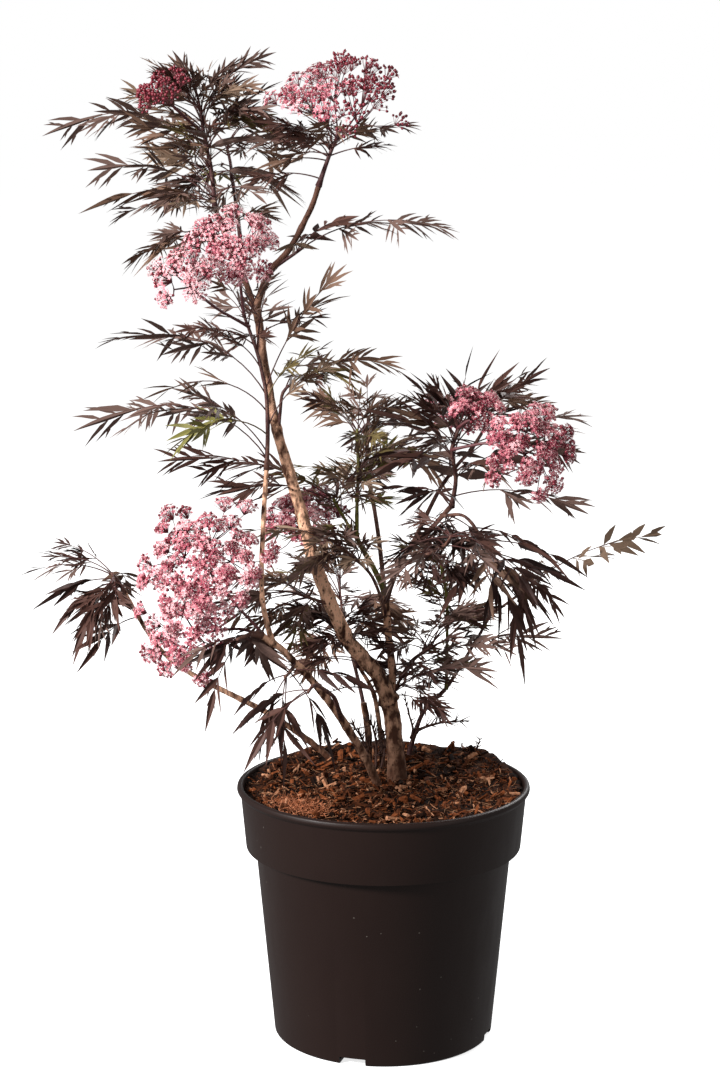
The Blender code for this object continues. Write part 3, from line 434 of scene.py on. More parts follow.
# %% Pot finish
plastic = Finish("pot_plastic", Specular_IOR_Level=0.24)
clouds = plastic.noise(11.0, 5.0)
rubbed = plastic.noise(70.0, 4.0, (1.0, 1.0, 0.3))
speck = (plastic.dots(120.0) < 0.07) * (plastic.noise(16.0, 2.0) > 0.56)
charcoal = plastic.mix(colour(0.0122, 0.0050, 0.0039), colour(0.0205, 0.0102, 0.0080), clouds)
plastic.feed("Base Color", plastic.mix(charcoal, colour(0.16, 0.14, 0.12), speck * 0.6))
plastic.feed("Roughness", 0.36 + rubbed * 0.2)
plastic.bump(plastic.noise(900.0, 2.0) + plastic.noise(24.0, 2.0) * 2.0, 0.25, 0.0003)
dress(pot, plastic, "pot_plastic", ["pot"])

# %% [markdown]
# Under the loose chips lies a bed of mulch: level round the stems, a little lower at the rim and
# heaped at the back right. A cylinder's top is inset ring by ring, and each corner is then
# lifted by the same rule that the packed soil has, with a roughness of its own. Along the back
# the mulch is also piled against the rim, so that it hides it.

# %% Mulch bed
GROUND = 198.5 * MM
SOIL_EDGE_DROP = 3 * MM
HEAP_RISE = 9 * MM
HEAP_BEARING = math.radians(48)
HEAP_HALF_WIDTH = math.radians(50)
LEVEL_REACH = 44 * MM
LEVEL_FADE = 30 * MM
LEVEL_FROM = Vector((0.0, 5 * MM))
LEVEL_TO = Vector((-5 * MM, 70 * MM))
BED_RADIUS = 109.5 * MM
BED_FOOT_RADIUS = 106.5 * MM
BED_DEPTH = 30 * MM
BED_RINGS = 30
BED_ROUGHNESS = 2.6 * MM


def mulch_height(x, y):
    """Level near the stems, lower at the rim and heaped at the back right."""
    place = Vector((x, y))
    span = LEVEL_TO - LEVEL_FROM
    share = max(0.0, min(1.0, (place - LEVEL_FROM).dot(span) / span.length_squared))
    away = (place - (LEVEL_FROM + span * share)).length
    fade = max(0.0, min(1.0, (away - LEVEL_REACH) / LEVEL_FADE))
    turn = math.atan2(y, x) - HEAP_BEARING
    heap = HEAP_RISE * math.exp(-(turn / HEAP_HALF_WIDTH) ** 2)
    return GROUND + fade * (heap - SOIL_EDGE_DROP)


Pile = namedtuple("Pile", "height bearing half_width")
PILES = (Pile(11 * MM, math.radians(124), math.radians(42)),
         Pile(6 * MM, math.radians(78), math.radians(26)),
         Pile(6 * MM, math.radians(41), math.radians(12)))


def rim_heap(x, y):
    """How much higher the mulch lies against the rim at the back, where it hides it."""
    near = (math.hypot(x, y) / BED_RADIUS) ** 6
    bearing = math.atan2(y, x)
    return near * sum(pile.height * math.exp(-((bearing - pile.bearing) / pile.half_width) ** 2)
                      for pile in PILES)


bed = add_primitive(bpy.ops.mesh.primitive_cylinder_add, "mulch_bed", vertices=160,
                    radius=BED_RADIUS, depth=BED_DEPTH, end_fill_type="NGON",
                    location=(0.0, 0.0, GROUND - BED_DEPTH / 2))
bpy.ops.mesh.select_mode(type="FACE")
bpy.ops.mesh.select_all(action="DESELECT")
work = bmesh.from_edit_mesh(bed.data)
for face in work.faces:
    face.select = face.normal.z < -0.9
bmesh.update_edit_mesh(bed.data)
bed_taper = BED_FOOT_RADIUS / BED_RADIUS
bpy.ops.transform.resize(value=(bed_taper, bed_taper, 1.0),
                         center_override=(0.0, 0.0, GROUND - BED_DEPTH))
bpy.ops.mesh.select_all(action="DESELECT")
work = bmesh.from_edit_mesh(bed.data)
for face in work.faces:
    face.select = face.normal.z > 0.9
bmesh.update_edit_mesh(bed.data)
for _ in range(BED_RINGS - 1):
    bpy.ops.mesh.inset(thickness=BED_RADIUS / BED_RINGS)
leave_edit_mode()
bpy.ops.object.transform_apply(location=True)
for corner in bed.data.vertices:
    if corner.co.z > GROUND - BED_DEPTH / 2:
        spot = corner.co.copy()
        rough = noise.noise(spot * 130) + 0.6 * noise.noise(spot * 420)
        corner.co.z = mulch_height(spot.x, spot.y) + BED_ROUGHNESS * (rough - 0.6)
        corner.co.z += rim_heap(spot.x, spot.y) * 0.8
bed.data.shade_smooth()

earth = Finish("mulch_bed", Roughness=0.95, Specular_IOR_Level=0.15)
# The near-black of the bed is partly damp mulch and partly painted shade in the gaps between the chips.
damp_and_shade = earth.noise(90.0, 6.0)
earth.feed("Base Color", earth.mix(
    colour(0.008, 0.0028, 0.0013), colour(0.080, 0.026, 0.010), earth.between(damp_and_shade, 0.38, 0.74)))
earth.bump(earth.noise(420.0, 6.0), 0.9, 0.002)
dress(bed, earth, "mulch", ["soil"])

# %% [markdown]
# A bark chip is a flat splinter with a torn end. Three are modelled once from a six-sided
# bar: a broad flake, a thin splinter and a stubby crumb. Each end is picked and squeezed
# apart from the other, so that no chip looks sawn.

# %% Three bark chips
def model_chip(name, width, thickness, near_end, far_end, twist):
    """A chip one unit long: a bar whose two ends are narrowed and turned in their own way."""
    chip = add_primitive(bpy.ops.mesh.primitive_cylinder_add, name, vertices=6, radius=0.5,
                         depth=1.0, end_fill_type="NGON", rotation=(0.0, math.pi / 2, 0.0))
    bpy.ops.mesh.select_all(action="SELECT")
    leave_edit_mode()
    bpy.ops.object.transform_apply(rotation=True)
    bpy.ops.object.mode_set(mode="EDIT")
    bpy.ops.transform.resize(value=(1.0, width, thickness), center_override=(0.0, 0.0, 0.0))
    pick(chip, lambda place: place.x > 0.4)
    bpy.ops.transform.resize(value=(1.0, far_end, 0.6), center_override=(0.5, width / 4, 0.0))
    bpy.ops.transform.rotate(value=twist, orient_axis="X", center_override=(0.5, 0.0, 0.0))
    pick(chip, lambda place: place.x < -0.4)
    bpy.ops.transform.resize(value=(1.0, near_end, 0.7), center_override=(-0.5, -width / 5, 0.0))
    pick(chip, lambda place: place.x > 0.4 and place.y > 0)
    bpy.ops.transform.translate(value=(-0.22, 0.0, thickness / 5))
    leave_edit_mode()
    return shape_of(chip)


CHIPS = {
    "flake": model_chip("flake", 0.42, 0.13, 0.7, 0.35, 0.3),
    "splinter": model_chip("splinter", 0.16, 0.10, 0.5, 0.2, 0.6),
    "crumb": model_chip("crumb", 0.62, 0.42, 0.6, 0.7, 0.4),
}
print("chips:", ", ".join(CHIPS))

# %% [markdown]
# Mulch has a few large chips and very many small ones, in rust, tan and near black. The
# copies are laid at random over the bed, each tilted a little, and gathered by colour. Few
# pale chips go a long way: most of the mulch stays dark, as damp bark is, and the bed under
# the chips is partly a painted shade in the gaps between them.

# %% Scatter the mulch
CHIP_COUNT = 4200
CHIP_LENGTHS = (2.5, 13.0)
CHIP_COLOURS = {
    "rust": (colour(0.22, 0.064, 0.021), colour(0.105, 0.028, 0.0095), 0.29),
    "tan": (colour(0.50, 0.25, 0.145), colour(0.28, 0.112, 0.052), 0.12),
    "umber": (colour(0.092, 0.028, 0.0105), colour(0.036, 0.0105, 0.0045), 0.34),
    "char": (colour(0.018, 0.0064, 0.0030), colour(0.0075, 0.0030, 0.0018), 0.25),
}


def bark_chip_finish(name, light, dark):
    """Wood fibres seen along a chip: fine streaks and a rough relief."""
    made = Finish(name, Roughness=0.85, Specular_IOR_Level=0.08)
    streak = made.noise(520.0, 4.0, (1.0, 0.35, 1.0))
    made.feed("Base Color", made.mix(dark, light, made.between(streak, 0.35, 0.65)))
    made.bump(streak, 0.6, 0.0006)
    return made


rng = random.Random(61)
heaps = {name: Sheaf() for name in CHIP_COLOURS}
weights = [share for _, _, share in CHIP_COLOURS.values()]
for _ in range(CHIP_COUNT):
    bearing = rng.uniform(0.0, math.tau)
    out = math.sqrt(rng.random()) * (BED_RADIUS - 4.5 * MM)
    x, y = out * math.cos(bearing), out * math.sin(bearing)
    length = CHIP_LENGTHS[0] + (CHIP_LENGTHS[1] - CHIP_LENGTHS[0]) * rng.random() ** 3.2
    kind = rng.choices(list(CHIPS), (0.45, 0.35, 0.20))[0]
    turn = Matrix.Rotation(rng.uniform(0.0, math.tau), 3, "Z")
    turn = turn @ Matrix.Rotation(rng.gauss(0.0, 0.42), 3, "Y")
    turn = turn @ Matrix.Rotation(rng.gauss(0.0, 0.5), 3, "X")
    lift = rng.uniform(0.0, 2.4) * MM + rim_heap(x, y)
    heaps[rng.choices(list(heaps), weights)[0]].copy(
        CHIPS[kind], turn * (length * MM), (x, y, mulch_height(x, y) + lift))
for name, (light, dark, _) in CHIP_COLOURS.items():
    heaps[name].piece("chips_" + name, bark_chip_finish("chip_" + name, light, dark), "mulch")

# %% [markdown]
# Between the chips lie pale fibres, thin and bent, and at the front left a tangle of them, like
# coir. A fibre is a three-sided tube through four points, which is enough for something half a
# millimetre thick. The same `tube` later makes twigs and stalks: rings of corners round a
# line, closed at both ends.

# %% Tubes, and the fibres of the mulch
Stem = namedtuple("Stem", "points radii axis")


def tube(stem, sides):
    """A closed tube: one ring of corners round each point of the stem."""
    points = stem.points
    corners, faces = [], []
    across = None
    for k, point in enumerate(points):
        heading = points[min(k + 1, len(points) - 1)] - points[max(k - 1, 0)]
        heading.normalize()
        if across is None:
            across = heading.cross(UP) if abs(heading.z) < 0.95 else Vector((1.0, 0.0, 0.0))
        across = (across - heading * across.dot(heading)).normalized()
        upward = heading.cross(across)
        for side in range(sides):
            angle = math.tau * side / sides
            out = across * math.cos(angle) + upward * math.sin(angle)
            corners.append(point + out * stem.radii[k])
    for ring in range(len(points) - 1):
        for side in range(sides):
            a = ring * sides + side
            b = ring * sides + (side + 1) % sides
            faces.append((a, a + sides, b + sides, b))
    faces.append(tuple(range(sides)))
    faces.append(tuple(reversed(range(len(corners) - sides, len(corners)))))
    return corners, faces


FIBRE_COUNT = 420
FIBRE_RADIUS = 0.22 * MM
FLUFF_COUNT = 560
FLUFF_BEARING = (-138, 9)
FLUFF_OUT = (86, 9)

fibres = Sheaf()
rng = random.Random(62)
for _ in range(FIBRE_COUNT):
    bearing = rng.uniform(0.0, math.tau)
    out = math.sqrt(rng.random()) * (BED_RADIUS - 9 * MM)
    spot = Vector((out * math.cos(bearing), out * math.sin(bearing), 0.0))
    spot.z = mulch_height(spot.x, spot.y) + rng.uniform(0.8, 2.4) * MM
    heading = Vector((rng.gauss(0, 1), rng.gauss(0, 1), rng.gauss(0, 0.16))).normalized()
    bend = Vector((rng.gauss(0, 0.35), rng.gauss(0, 0.35), rng.gauss(0, 0.12)))
    line = [spot]
    for _ in range(3):
        heading = (heading + bend).normalized()
        line.append(line[-1] + heading * rng.uniform(1.5, 4.0) * MM)
    radii = [FIBRE_RADIUS, FIBRE_RADIUS, FIBRE_RADIUS * 0.8, FIBRE_RADIUS * 0.4]
    fibres.add(*tube(Stem(line, radii, None), 3))
fibres.piece("mulch_fibres", bark_chip_finish(
    "fibre", colour(0.38, 0.20, 0.11), colour(0.20, 0.085, 0.04)), "mulch")

fluff = Sheaf()
for _ in range(FLUFF_COUNT):
    bearing = math.radians(rng.gauss(*FLUFF_BEARING))
    out = min(BED_RADIUS - 5 * MM, rng.gauss(*FLUFF_OUT) * MM)
    spot = Vector((out * math.cos(bearing), out * math.sin(bearing), 0.0))
    spot.z = mulch_height(spot.x, spot.y) + abs(rng.gauss(0.5, 2.2)) * MM
    heading = Vector((rng.gauss(0, 1), rng.gauss(0, 1), rng.gauss(0, 0.5))).normalized()
    line = [spot]
    for _ in range(3):
        heading = (heading + Vector([rng.gauss(0, 0.5) for _ in range(3)])).normalized()
        line.append(line[-1] + heading * rng.uniform(1.5, 3.5) * MM)
    fluff.add(*tube(Stem(line, [FIBRE_RADIUS * 0.7] * 4, None), 3))
fluff.piece("mulch_fluff", bark_chip_finish(
    "fluff", colour(0.64, 0.26, 0.135), colour(0.36, 0.11, 0.048)), "mulch")

# %% [markdown]
# Now the plant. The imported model's stems are plain tapering tubes through a few places in
# millimetres, and the same places are written here again. Each row says what carries the
# stem, at which share of its length, how thick it is at its foot and tip, and its route.

# %% Where the limbs run
GAP = 0.3 * MM
BURIED = 6 * MM
LIMB_STEP = 22 * MM
FLARE = 1.5 * MM
FLARE_HEIGHT = 12 * MM
TIP = 1.0

Limb = namedtuple("Limb", "carrier at foot tip route")
LIMBS = {
    "trunk": Limb(None, 0, 6.9, 6.4, [(11, 20), (9, 20, 228), (7, 21, 247), (4, 22, 263)]),
    "main_stem": Limb("trunk", TIP, 6.3, 2.9, [
        (-5, 18, 284), (-28, 10, 314), (-39, 4, 339), (-54, 0, 379), (-62, 0, 411),
        (-79, 2, 469), (-87, 5, 503), (-92, 6, 534), (-97, 6, 576)]),
    "second_stem": Limb("trunk", 0.86, 3.2, 2.7, [
        (7, 32, 285), (4, 36, 308), (1, 38, 346)]),
    "upper_right_bough": Limb("main_stem", TIP, 2.7, 1.9, [
        (-88, 4, 599), (-72, 0, 618), (-54, -5, 652), (-49, -8, 667)]),
    "leader": Limb("main_stem", 0.965, 2.5, 1.9, [
        (-107, 12, 596), (-119, 18, 622), (-129, 22, 648)]),
    "left_bough": Limb(None, 0, 3.6, 2.5, [
        (-2, -2), (-14, -10, 224), (-44, -32, 278), (-78, -55, 322), (-93, -62, 334)]),
    "left_upright": Limb("left_bough", 0.93, 2.1, 1.7, [
        (-91, -61, 360), (-91, -54, 405), (-88, -44, 458)]),
    "low_left_bough": Limb(None, 0, 2.7, 1.6, [
        (-35, 75), (-56, 72, 212), (-92, 64, 240), (-155, 52, 277), (-182, 46, 303),
        (-205, 38, 346)]),
    "green_stem": Limb("second_stem", TIP, 2.3, 1.3, [
        (-9, 36, 368), (-20, 34, 388), (-21, 30, 421)]),
    "right_bough": Limb("second_stem", 0.93, 2.3, 1.8, [
        (13, 30, 372), (25, 22, 389), (36, 14, 401), (52, 0, 422)]),
    "low_right_bough": Limb(None, 0, 2.0, 1.1, [
        (18, 80), (25, 80, 218), (33, 79, 239), (50, 77, 258), (70, 75, 291), (86, 74, 320)]),
    "side_stem": Limb(None, 0, 2.5, 1.5, [
        (0, 50), (-3, 48, 232), (-8, 46, 262), (-20, 40, 286)]),
    "cut_stub": Limb(None, 0, 2.8, 2.6, [(-12, 52), (-12, 51, 228), (-16, 50, 253)]),
    "back_top_bough": Limb("leader", 0.35, 1.9, 1.4, [
        (-114, 58, 640), (-120, 92, 668)]),
    "back_middle_bough": Limb("second_stem", 0.80, 2.1, 1.5, [
        (-4, 84, 380), (-12, 118, 424)]),
    "back_right_bough": Limb("right_bough", 0.45, 1.8, 1.4, [
        (46, 60, 428), (70, 92, 452)]),
    "back_low_bough": Limb(None, 0, 2.1, 1.4, [
        (-12, 84), (-16, 100, 236), (-30, 128, 290)]),
    "front_left_bough": Limb("left_bough", 0.42, 2.0, 1.4, [
        (-38, -68, 288), (-48, -92, 302)]),
    "front_right_bough": Limb("right_bough", 0.30, 1.8, 1.4, [
        (26, -20, 384), (40, -54, 398)]),
}

# %% [markdown]
# Each mass of leaves has a short stem of its own, with pairs of opposite leaves. A row gives
# the number of pairs, how far each pair is turned from the one below, how steeply the lowest
# and the highest leaves rise, how much they arch over, and how long they are.

# %% Where the leaves grow
Mass = namedtuple("Mass", "carrier at route pairs turn step rise bend leaf favour toward end seed")
MASSES = {
    "leaves_top_left": Mass("leader", TIP, [(-131, 21, 672), (-137, 19, 706), (-139, 18, 721)],
                            2, 120, 72, (35, 70), 60, (82, 76), 0.1, 180, 0.0, 11),
    "leaves_leader_left": Mass("leader", 0.62, [(-130, 14, 626), (-139, 8, 628)],
                               1, 100, 90, (15, 15), 55, (70, 70), 0.0, 180, 1.0, 12),
    "leaves_top_right": Mass("upper_right_bough", TIP, [
        (-43, -11, 684), (-39, -12, 694), (-36, -12, 701)],
        1, 90, 80, (40, 40), 55, (66, 66), 0.0, 180, 0.0, 13),
    "leaves_right_arch": Mass("upper_right_bough", 0.30, [(-68, -2, 615), (-60, -5, 621)],
                              1, 85, 90, (35, 35), 56, (52, 52), 0.0, 0, 2.4, 14),
    "leaves_left_upright": Mass("left_upright", TIP, [
        (-87, -43, 486), (-88, -42, 513), (-95, -42, 546), (-104, -42, 572)],
        1, 105, 70, (60, 60), 60, (76, 76), 0.0, 190, 0.0, 15),
    "leaves_middle_right": Mass("main_stem", 0.70, [(-77, -3, 510), (-68, -7, 519)],
                                1, 70, 90, (60, 60), 66, (70, 70), 0.0, 0, 1.36, 32),
    "leaves_green_stem": Mass("green_stem", TIP, [(-20, 28, 445), (-21, 26, 478)],
                              2, 85, 74, (35, 60), 50, (70, 64), 0.0, 0, 0.0, 16),
    "leaves_olive_arch": Mass("green_stem", 0.55, [(-29, 27, 404), (-40, 22, 425)],
                              0, 60, 75, (25, 45), 50, (74, 68), 0.0, 0, 0.0, 17),
    "leaves_middle_left": Mass("second_stem", 0.80, [(-10, 18, 364), (-34, -8, 392)],
                               0, 60, 75, (15, 35), 50, (64, 60), 0.0, 0, 0.0, 18),
    "leaves_middle_low": Mass("main_stem", 0.28, [(-54, -8, 350), (-66, -16, 356)],
                              0, 150, 70, (10, 25), 60, (68, 64), 0.0, 0, 0.0, 33),
    "leaves_right_crown": Mass("right_bough", TIP, [
        (55, -4, 443), (52, -8, 466), (57, -10, 484)],
        2, 80, 60, (30, 55), 58, (96, 88), 0.0, 10, 0.0, 19),
    "leaves_right_droop": Mass("right_bough", 0.88, [
        (62, -14, 416), (77, -22, 397), (85, -26, 380)],
        1, 95, 60, (-10, -10), 50, (60, 60), 0.0, 0, 0.0, 20),
    "leaves_far_right": Mass("low_right_bough", TIP, [(104, 72, 334), (122, 68, 350)],
                             1, 80, 90, (30, 30), 34, (44, 52), 0.0, 0, 2.05, 21),
    "leaves_low_right": Mass("second_stem", 0.12, [(20, 30, 290), (38, 24, 306)],
                             2, 60, 80, (10, 40), 50, (76, 72), 0.0, 0, 0.0, 22),
    "leaves_right_upright": Mass("low_right_bough", 0.52, [
        (51, 68, 300), (50, 60, 340), (45, 54, 368)],
        3, 20, 74, (25, 60), 50, (62, 54), 0.0, 0, 0.0, 34),
    "leaves_low_left": Mass("low_left_bough", TIP, [(-209, 37, 354), (-215, 36, 362)],
                            1, 80, 62, (0, 0), 60, (60, 60), 0.0, 180, 0.0, 23),
    "leaves_left_cluster": Mass("left_bough", TIP, [(-99, -68, 336), (-110, -80, 334)],
                                1, 80, 55, (-5, -5), 60, (64, 64), 0.0, 0, 0.0, 24),
    "leaves_left_node": Mass("left_bough", 0.79, [(-70, -62, 306), (-74, -74, 304)],
                             0, 60, 75, (-20, 0), 45, (54, 50), 0.0, 0, 0.0, 35),
    "leaves_inner": Mass("side_stem", TIP, [(-26, 38, 300), (-38, 34, 316)],
                         2, 150, 60, (0, 30), 40, (64, 60), 0.0, 0, 0.9, 25),
    "leaves_back_top": Mass("back_top_bough", TIP, [(-122, 102, 680), (-125, 108, 692)],
                            2, 60, 75, (15, 40), 55, (92, 86), 0.1, 90, 0.7, 26),
    "leaves_back_middle": Mass("back_middle_bough", TIP, [(-14, 128, 440), (-14, 134, 456)],
                               2, 50, 75, (15, 40), 55, (98, 90), 0.1, 90, 0.8, 27),
    "leaves_back_right": Mass("back_right_bough", TIP, [(80, 104, 466), (86, 112, 480)],
                              2, 30, 75, (15, 35), 55, (90, 84), 0.1, 60, 0.8, 28),
    "leaves_back_low": Mass("back_low_bough", TIP, [(-34, 136, 306), (-36, 142, 320)],
                            2, 60, 75, (5, 30), 50, (90, 84), 0.1, 90, 0.9, 29),
    "leaves_front_left": Mass("front_left_bough", TIP, [(-52, -99, 304), (-56, -106, 300)],
                              0, 60, 75, (-35, -10), 50, (64, 58), 0.0, 0, 0.0, 30),
    "leaves_front_right": Mass("front_right_bough", TIP, [(46, -66, 404), (50, -74, 412)],
                               2, 35, 80, (5, 20), 55, (66, 62), 0.0, 0, 0.9, 31),
}

# %% [markdown]
# Some leaves stand out so clearly in the photograph that they have rows of their own, which
# grow before the pairs. A row gives the share of the stem, the bearing (0 is to the right, 180
# to the left and -90 to the viewer), the first rise, the bend, and the length.

# %% Leaves that stand out
SHOWN = {
    "leaves_top_left": [
        (0.36, 167, 67, 112, 146), (0.06, 182, 50, 72, 98), (0.04, 172, 28, 60, 92),
        (0.07, 196, 12, 44, 80), (0.88, 188, 45, 60, 66), (0.97, 180, 65, 45, 62),
        (0.95, 0, 72, 64, 72), (0.84, 10, 80, 46, 64), (0.72, -25, 62, 90, 66),
        (0.45, 165, 20, 60, 60), (0.66, 205, 62, 70, 84), (0.36, 215, 58, 66, 84),
        (0.58, 150, 66, 66, 90), (0.97, 80, 66, 40, 54)],
    "leaves_top_right": [
        (0.12, 178, 20, 46, 58), (0.60, 180, 32, 44, 62), (0.72, 187, 56, 74, 66),
        (0.52, 202, 14, 38, 52), (0.80, 0, 36, 44, 66), (0.62, -16, 22, 26, 52),
        (0.86, 215, 68, 34, 46)],
    "leaves_left_upright": [
        (0.06, 180, 58, 100, 150), (0.10, 192, 60, 50, 86), (0.47, 180, 62, 90, 134),
        (0.50, -8, 72, 30, 112), (0.80, 195, 40, 60, 62), (0.84, 10, 40, 50, 58)],
    "leaves_green_stem": [
        (0.30, 188, 78, 44, 56), (0.40, -5, 66, 36, 54), (0.14, 186, 56, 76, 58),
        (0.20, 8, 52, 26, 70)],
    "leaves_olive_arch": [
        (0.95, 184, 38, 50, 138), (0.86, 196, 34, 60, 110), (0.92, 5, 46, 40, 66)],
    "leaves_middle_left": [
        (0.93, 196, 38, 58, 92), (0.60, -100, 40, 60, 64), (0.80, 215, 20, 70, 62)],
    "leaves_middle_low": [
        (0.90, 185, 20, 60, 72), (0.70, 215, 4, 60, 66), (0.80, 160, 36, 60, 68),
        (0.50, 246, -12, 50, 58)],
    "leaves_right_crown": [
        (0.62, 180, 50, 42, 72), (0.56, 200, 30, 50, 66), (0.84, 178, 68, 32, 60),
        (0.93, 60, 82, 24, 60), (0.90, 15, 74, 30, 70), (0.74, 15, 52, 28, 94),
        (0.48, 16, 45, 54, 116), (0.36, 28, 34, 46, 96), (0.12, -6, 18, 48, 100),
        (0.10, 186, 28, 40, 54), (0.44, -45, 34, 86, 64)],
    "leaves_right_droop": [
        (0.94, -20, -62, 24, 82), (0.88, 10, -44, 38, 70), (0.80, -8, -24, 34, 76),
        (0.70, 10, 2, 42, 76), (0.52, 18, -4, 34, 58), (0.72, 184, 34, 46, 46)],
    "leaves_low_right": [
        (0.30, -4, 42, 52, 126), (0.60, 10, 58, 50, 92), (0.90, -12, 36, 52, 86),
        (0.50, -70, 30, 60, 62), (0.45, 24, 66, 40, 98), (0.95, -36, 60, 60, 84),
        (0.20, -50, 8, 50, 66)],
    "leaves_low_left": [
        (0.80, 180, 30, 60, 74), (0.60, 160, 66, 50, 60), (0.50, 190, -6, 60, 58),
        (0.40, 208, -30, 50, 60), (0.70, 150, 46, 50, 64), (0.60, 230, -60, 30, 66)],
    "leaves_left_cluster": [
        (0.85, 190, -20, 60, 66), (0.75, 215, -40, 46, 62), (0.60, 170, 8, 50, 62),
        (0.80, 240, -52, 30, 56), (0.90, -150, 10, 60, 50)],
    "leaves_left_node": [
        (0.70, 200, -50, 40, 60), (0.85, -95, -60, 24, 70), (0.60, -15, -46, 34, 66),
        (0.50, 0, 8, 40, 56), (0.80, 172, -12, 50, 44)],
    "leaves_front_left": [
        (0.90, 205, -20, 50, 62), (0.70, -110, -34, 40, 62), (0.50, 250, -6, 60, 56),
        (0.80, 165, 0, 60, 60)],
}

# %% [markdown]
# A flower head is a flat umbel: a stalk, rays that fork, and a lobed dome of florets. A row
# gives the way it faces, its width and height in millimetres and the number of its lobes.

# %% Where the flower heads sit
Umbel = namedtuple("Umbel", "carrier at route axis width height lobes seed")
UMBELS = {
    "blossom_top_right": Umbel("leaves_top_right", TIP, [(-35, -12, 708)],
                               (0.0, -0.55, 1), 112, 46, 6, 41),
    "blossom_top_left": Umbel("leaves_top_left", 0.76, [(-149, 4, 716), (-160, -6, 727)],
                              (-0.5, -0.5, 1), 50, 16, 4, 42),
    "blossom_upper_left": Umbel("leaves_left_upright", TIP, [(-106, -44, 590), (-107, -48, 611)],
                                (0.05, -0.85, 0.6), 82, 26, 5, 43),
    "blossom_upper_left_low": Umbel("leaves_left_upright", 0.93, [
        (-124, -62, 580), (-142, -80, 597)], (-0.3, -0.8, 0.5), 58, 16, 4, 44),
    "blossom_middle_left": Umbel("left_bough", 0.94, [(-112, -60, 358), (-130, -62, 382)],
                                 (-0.2, -0.8, 0.5), 114, 26, 6, 45),
    "blossom_low_left": Umbel("left_bough", 0.87, [(-106, -44, 334), (-143, -46, 331)],
                              (-0.3, -0.8, 0.3), 86, 24, 5, 46),
    "blossom_inner": Umbel("main_stem", 0.32, [(-58, 28, 372), (-62, 44, 391)],
                           (-0.2, -0.45, 0.85), 82, 22, 5, 47),
    "blossom_right": Umbel("leaves_right_crown", TIP, [(62, -14, 489), (67, -18, 491)],
                           (0.1, -0.8, 0.6), 54, 16, 4, 48),
    "blossom_far_right": Umbel("leaves_right_crown", 0.72, [
        (80, -26, 474), (106, -38, 468)], (0.25, -0.9, 0.35), 86, 22, 5, 49),
    "blossom_back": Umbel("back_right_bough", 0.70, [(54, 104, 450), (60, 124, 466)],
                          (0.0, 0.6, 1), 70, 20, 5, 50),
}

# %% [markdown]
# A route becomes a stem by a smooth curve through its places. A stem that goes on from a
# tip starts a hair beyond it, and one that leaves a side starts on its carrier's centre line.

# %% From routes to stems
RIB_RADIUS = 1.05 * MM
STALK_RADIUS = 1.2 * MM


def real(place):
    """A place written in millimetres; with no height given it is just under the ground."""
    height = place[2] * MM if len(place) == 3 else GROUND - BURIED
    return Vector((place[0] * MM, place[1] * MM, height))


def smooth_route(places, step):
    """Points about one step apart on a smooth curve through the places."""
    places = [2 * places[0] - places[1], *places, 2 * places[-1] - places[-2]]
    points = [places[1]]
    for before, start, end, after in zip(places, places[1:], places[2:], places[3:]):
        count = max(1, round((end - start).length / step))
        for k in range(1, count + 1):
            t = k / count
            bend = (2 * before - 5 * start + 4 * end - after) * t * t
            swing = (3 * start - before - 3 * end + after) * t * t * t
            points.append(0.5 * (2 * start + (end - before) * t + bend + swing))
    return points


def along(stem, share):
    """The point at a share of a stem's length, and the way it heads there."""
    lengths = [(b - a).length for a, b in zip(stem.points, stem.points[1:])]
    left = share * sum(lengths)
    for k, length in enumerate(lengths):
        if left <= length or k == len(lengths) - 1:
            break
        left -= length
    start, end = stem.points[k], stem.points[k + 1]
    return start.lerp(end, min(1.0, left / length)), (end - start).normalized()


def seated_stem(carrier, at, route, foot, tip):
    """A tapering stem that goes on from its carrier's tip or starts inside its side."""
    places = [real(place) for place in route]
    if carrier:
        start, heading = along(carrier, at)
        if at == TIP:
            start = start + heading * GAP
        places.insert(0, start)
    points = smooth_route(places, LIMB_STEP)
    last = len(points) - 1
    return Stem(points, [foot + (tip - foot) * k / last for k in range(last + 1)], None)


stems = {}
for name, limb in LIMBS.items():
    stems[name] = seated_stem(stems.get(limb.carrier), limb.at, limb.route,
                              limb.foot * MM, limb.tip * MM)
for k, point in enumerate(stems["trunk"].points):
    stems["trunk"].radii[k] += FLARE * math.exp(-max(0.0, point.z - GROUND) / FLARE_HEIGHT)
for name, mass in MASSES.items():
    foot = stems[mass.carrier].radii[-1] if mass.at == TIP else RIB_RADIUS * 1.25
    stems[name] = seated_stem(stems[mass.carrier], mass.at, mass.route, foot, RIB_RADIUS * 1.1)
for name, umbel in UMBELS.items():
    foot = stems[umbel.carrier].radii[-1] if umbel.at == TIP else STALK_RADIUS
    stems[name] = seated_stem(stems[umbel.carrier], umbel.at, umbel.route, foot,
                              STALK_RADIUS * 0.9)
print("stems:", len(stems))

# %% [markdown]
# Elder bark is covered in small warts, and a stem swells at each node where leaves once
# stood. Displacement could do that in the shader, but real relief also shows in the outline.
# So each stem is swept with many corners, and every corner is moved in or out by a noise and
# by the swelling of the nearest node. A stem starts a little inside what carries it.

# %% Stems with relief
NODE_SPACING = 34 * MM
NODE_SWELLING = 0.13
NODE_WIDTH = 2.4 * MM
COLLAR_SWELLING = 0.35
COLLAR_LENGTH = 4 * MM
SEAT = 1.5 * MM


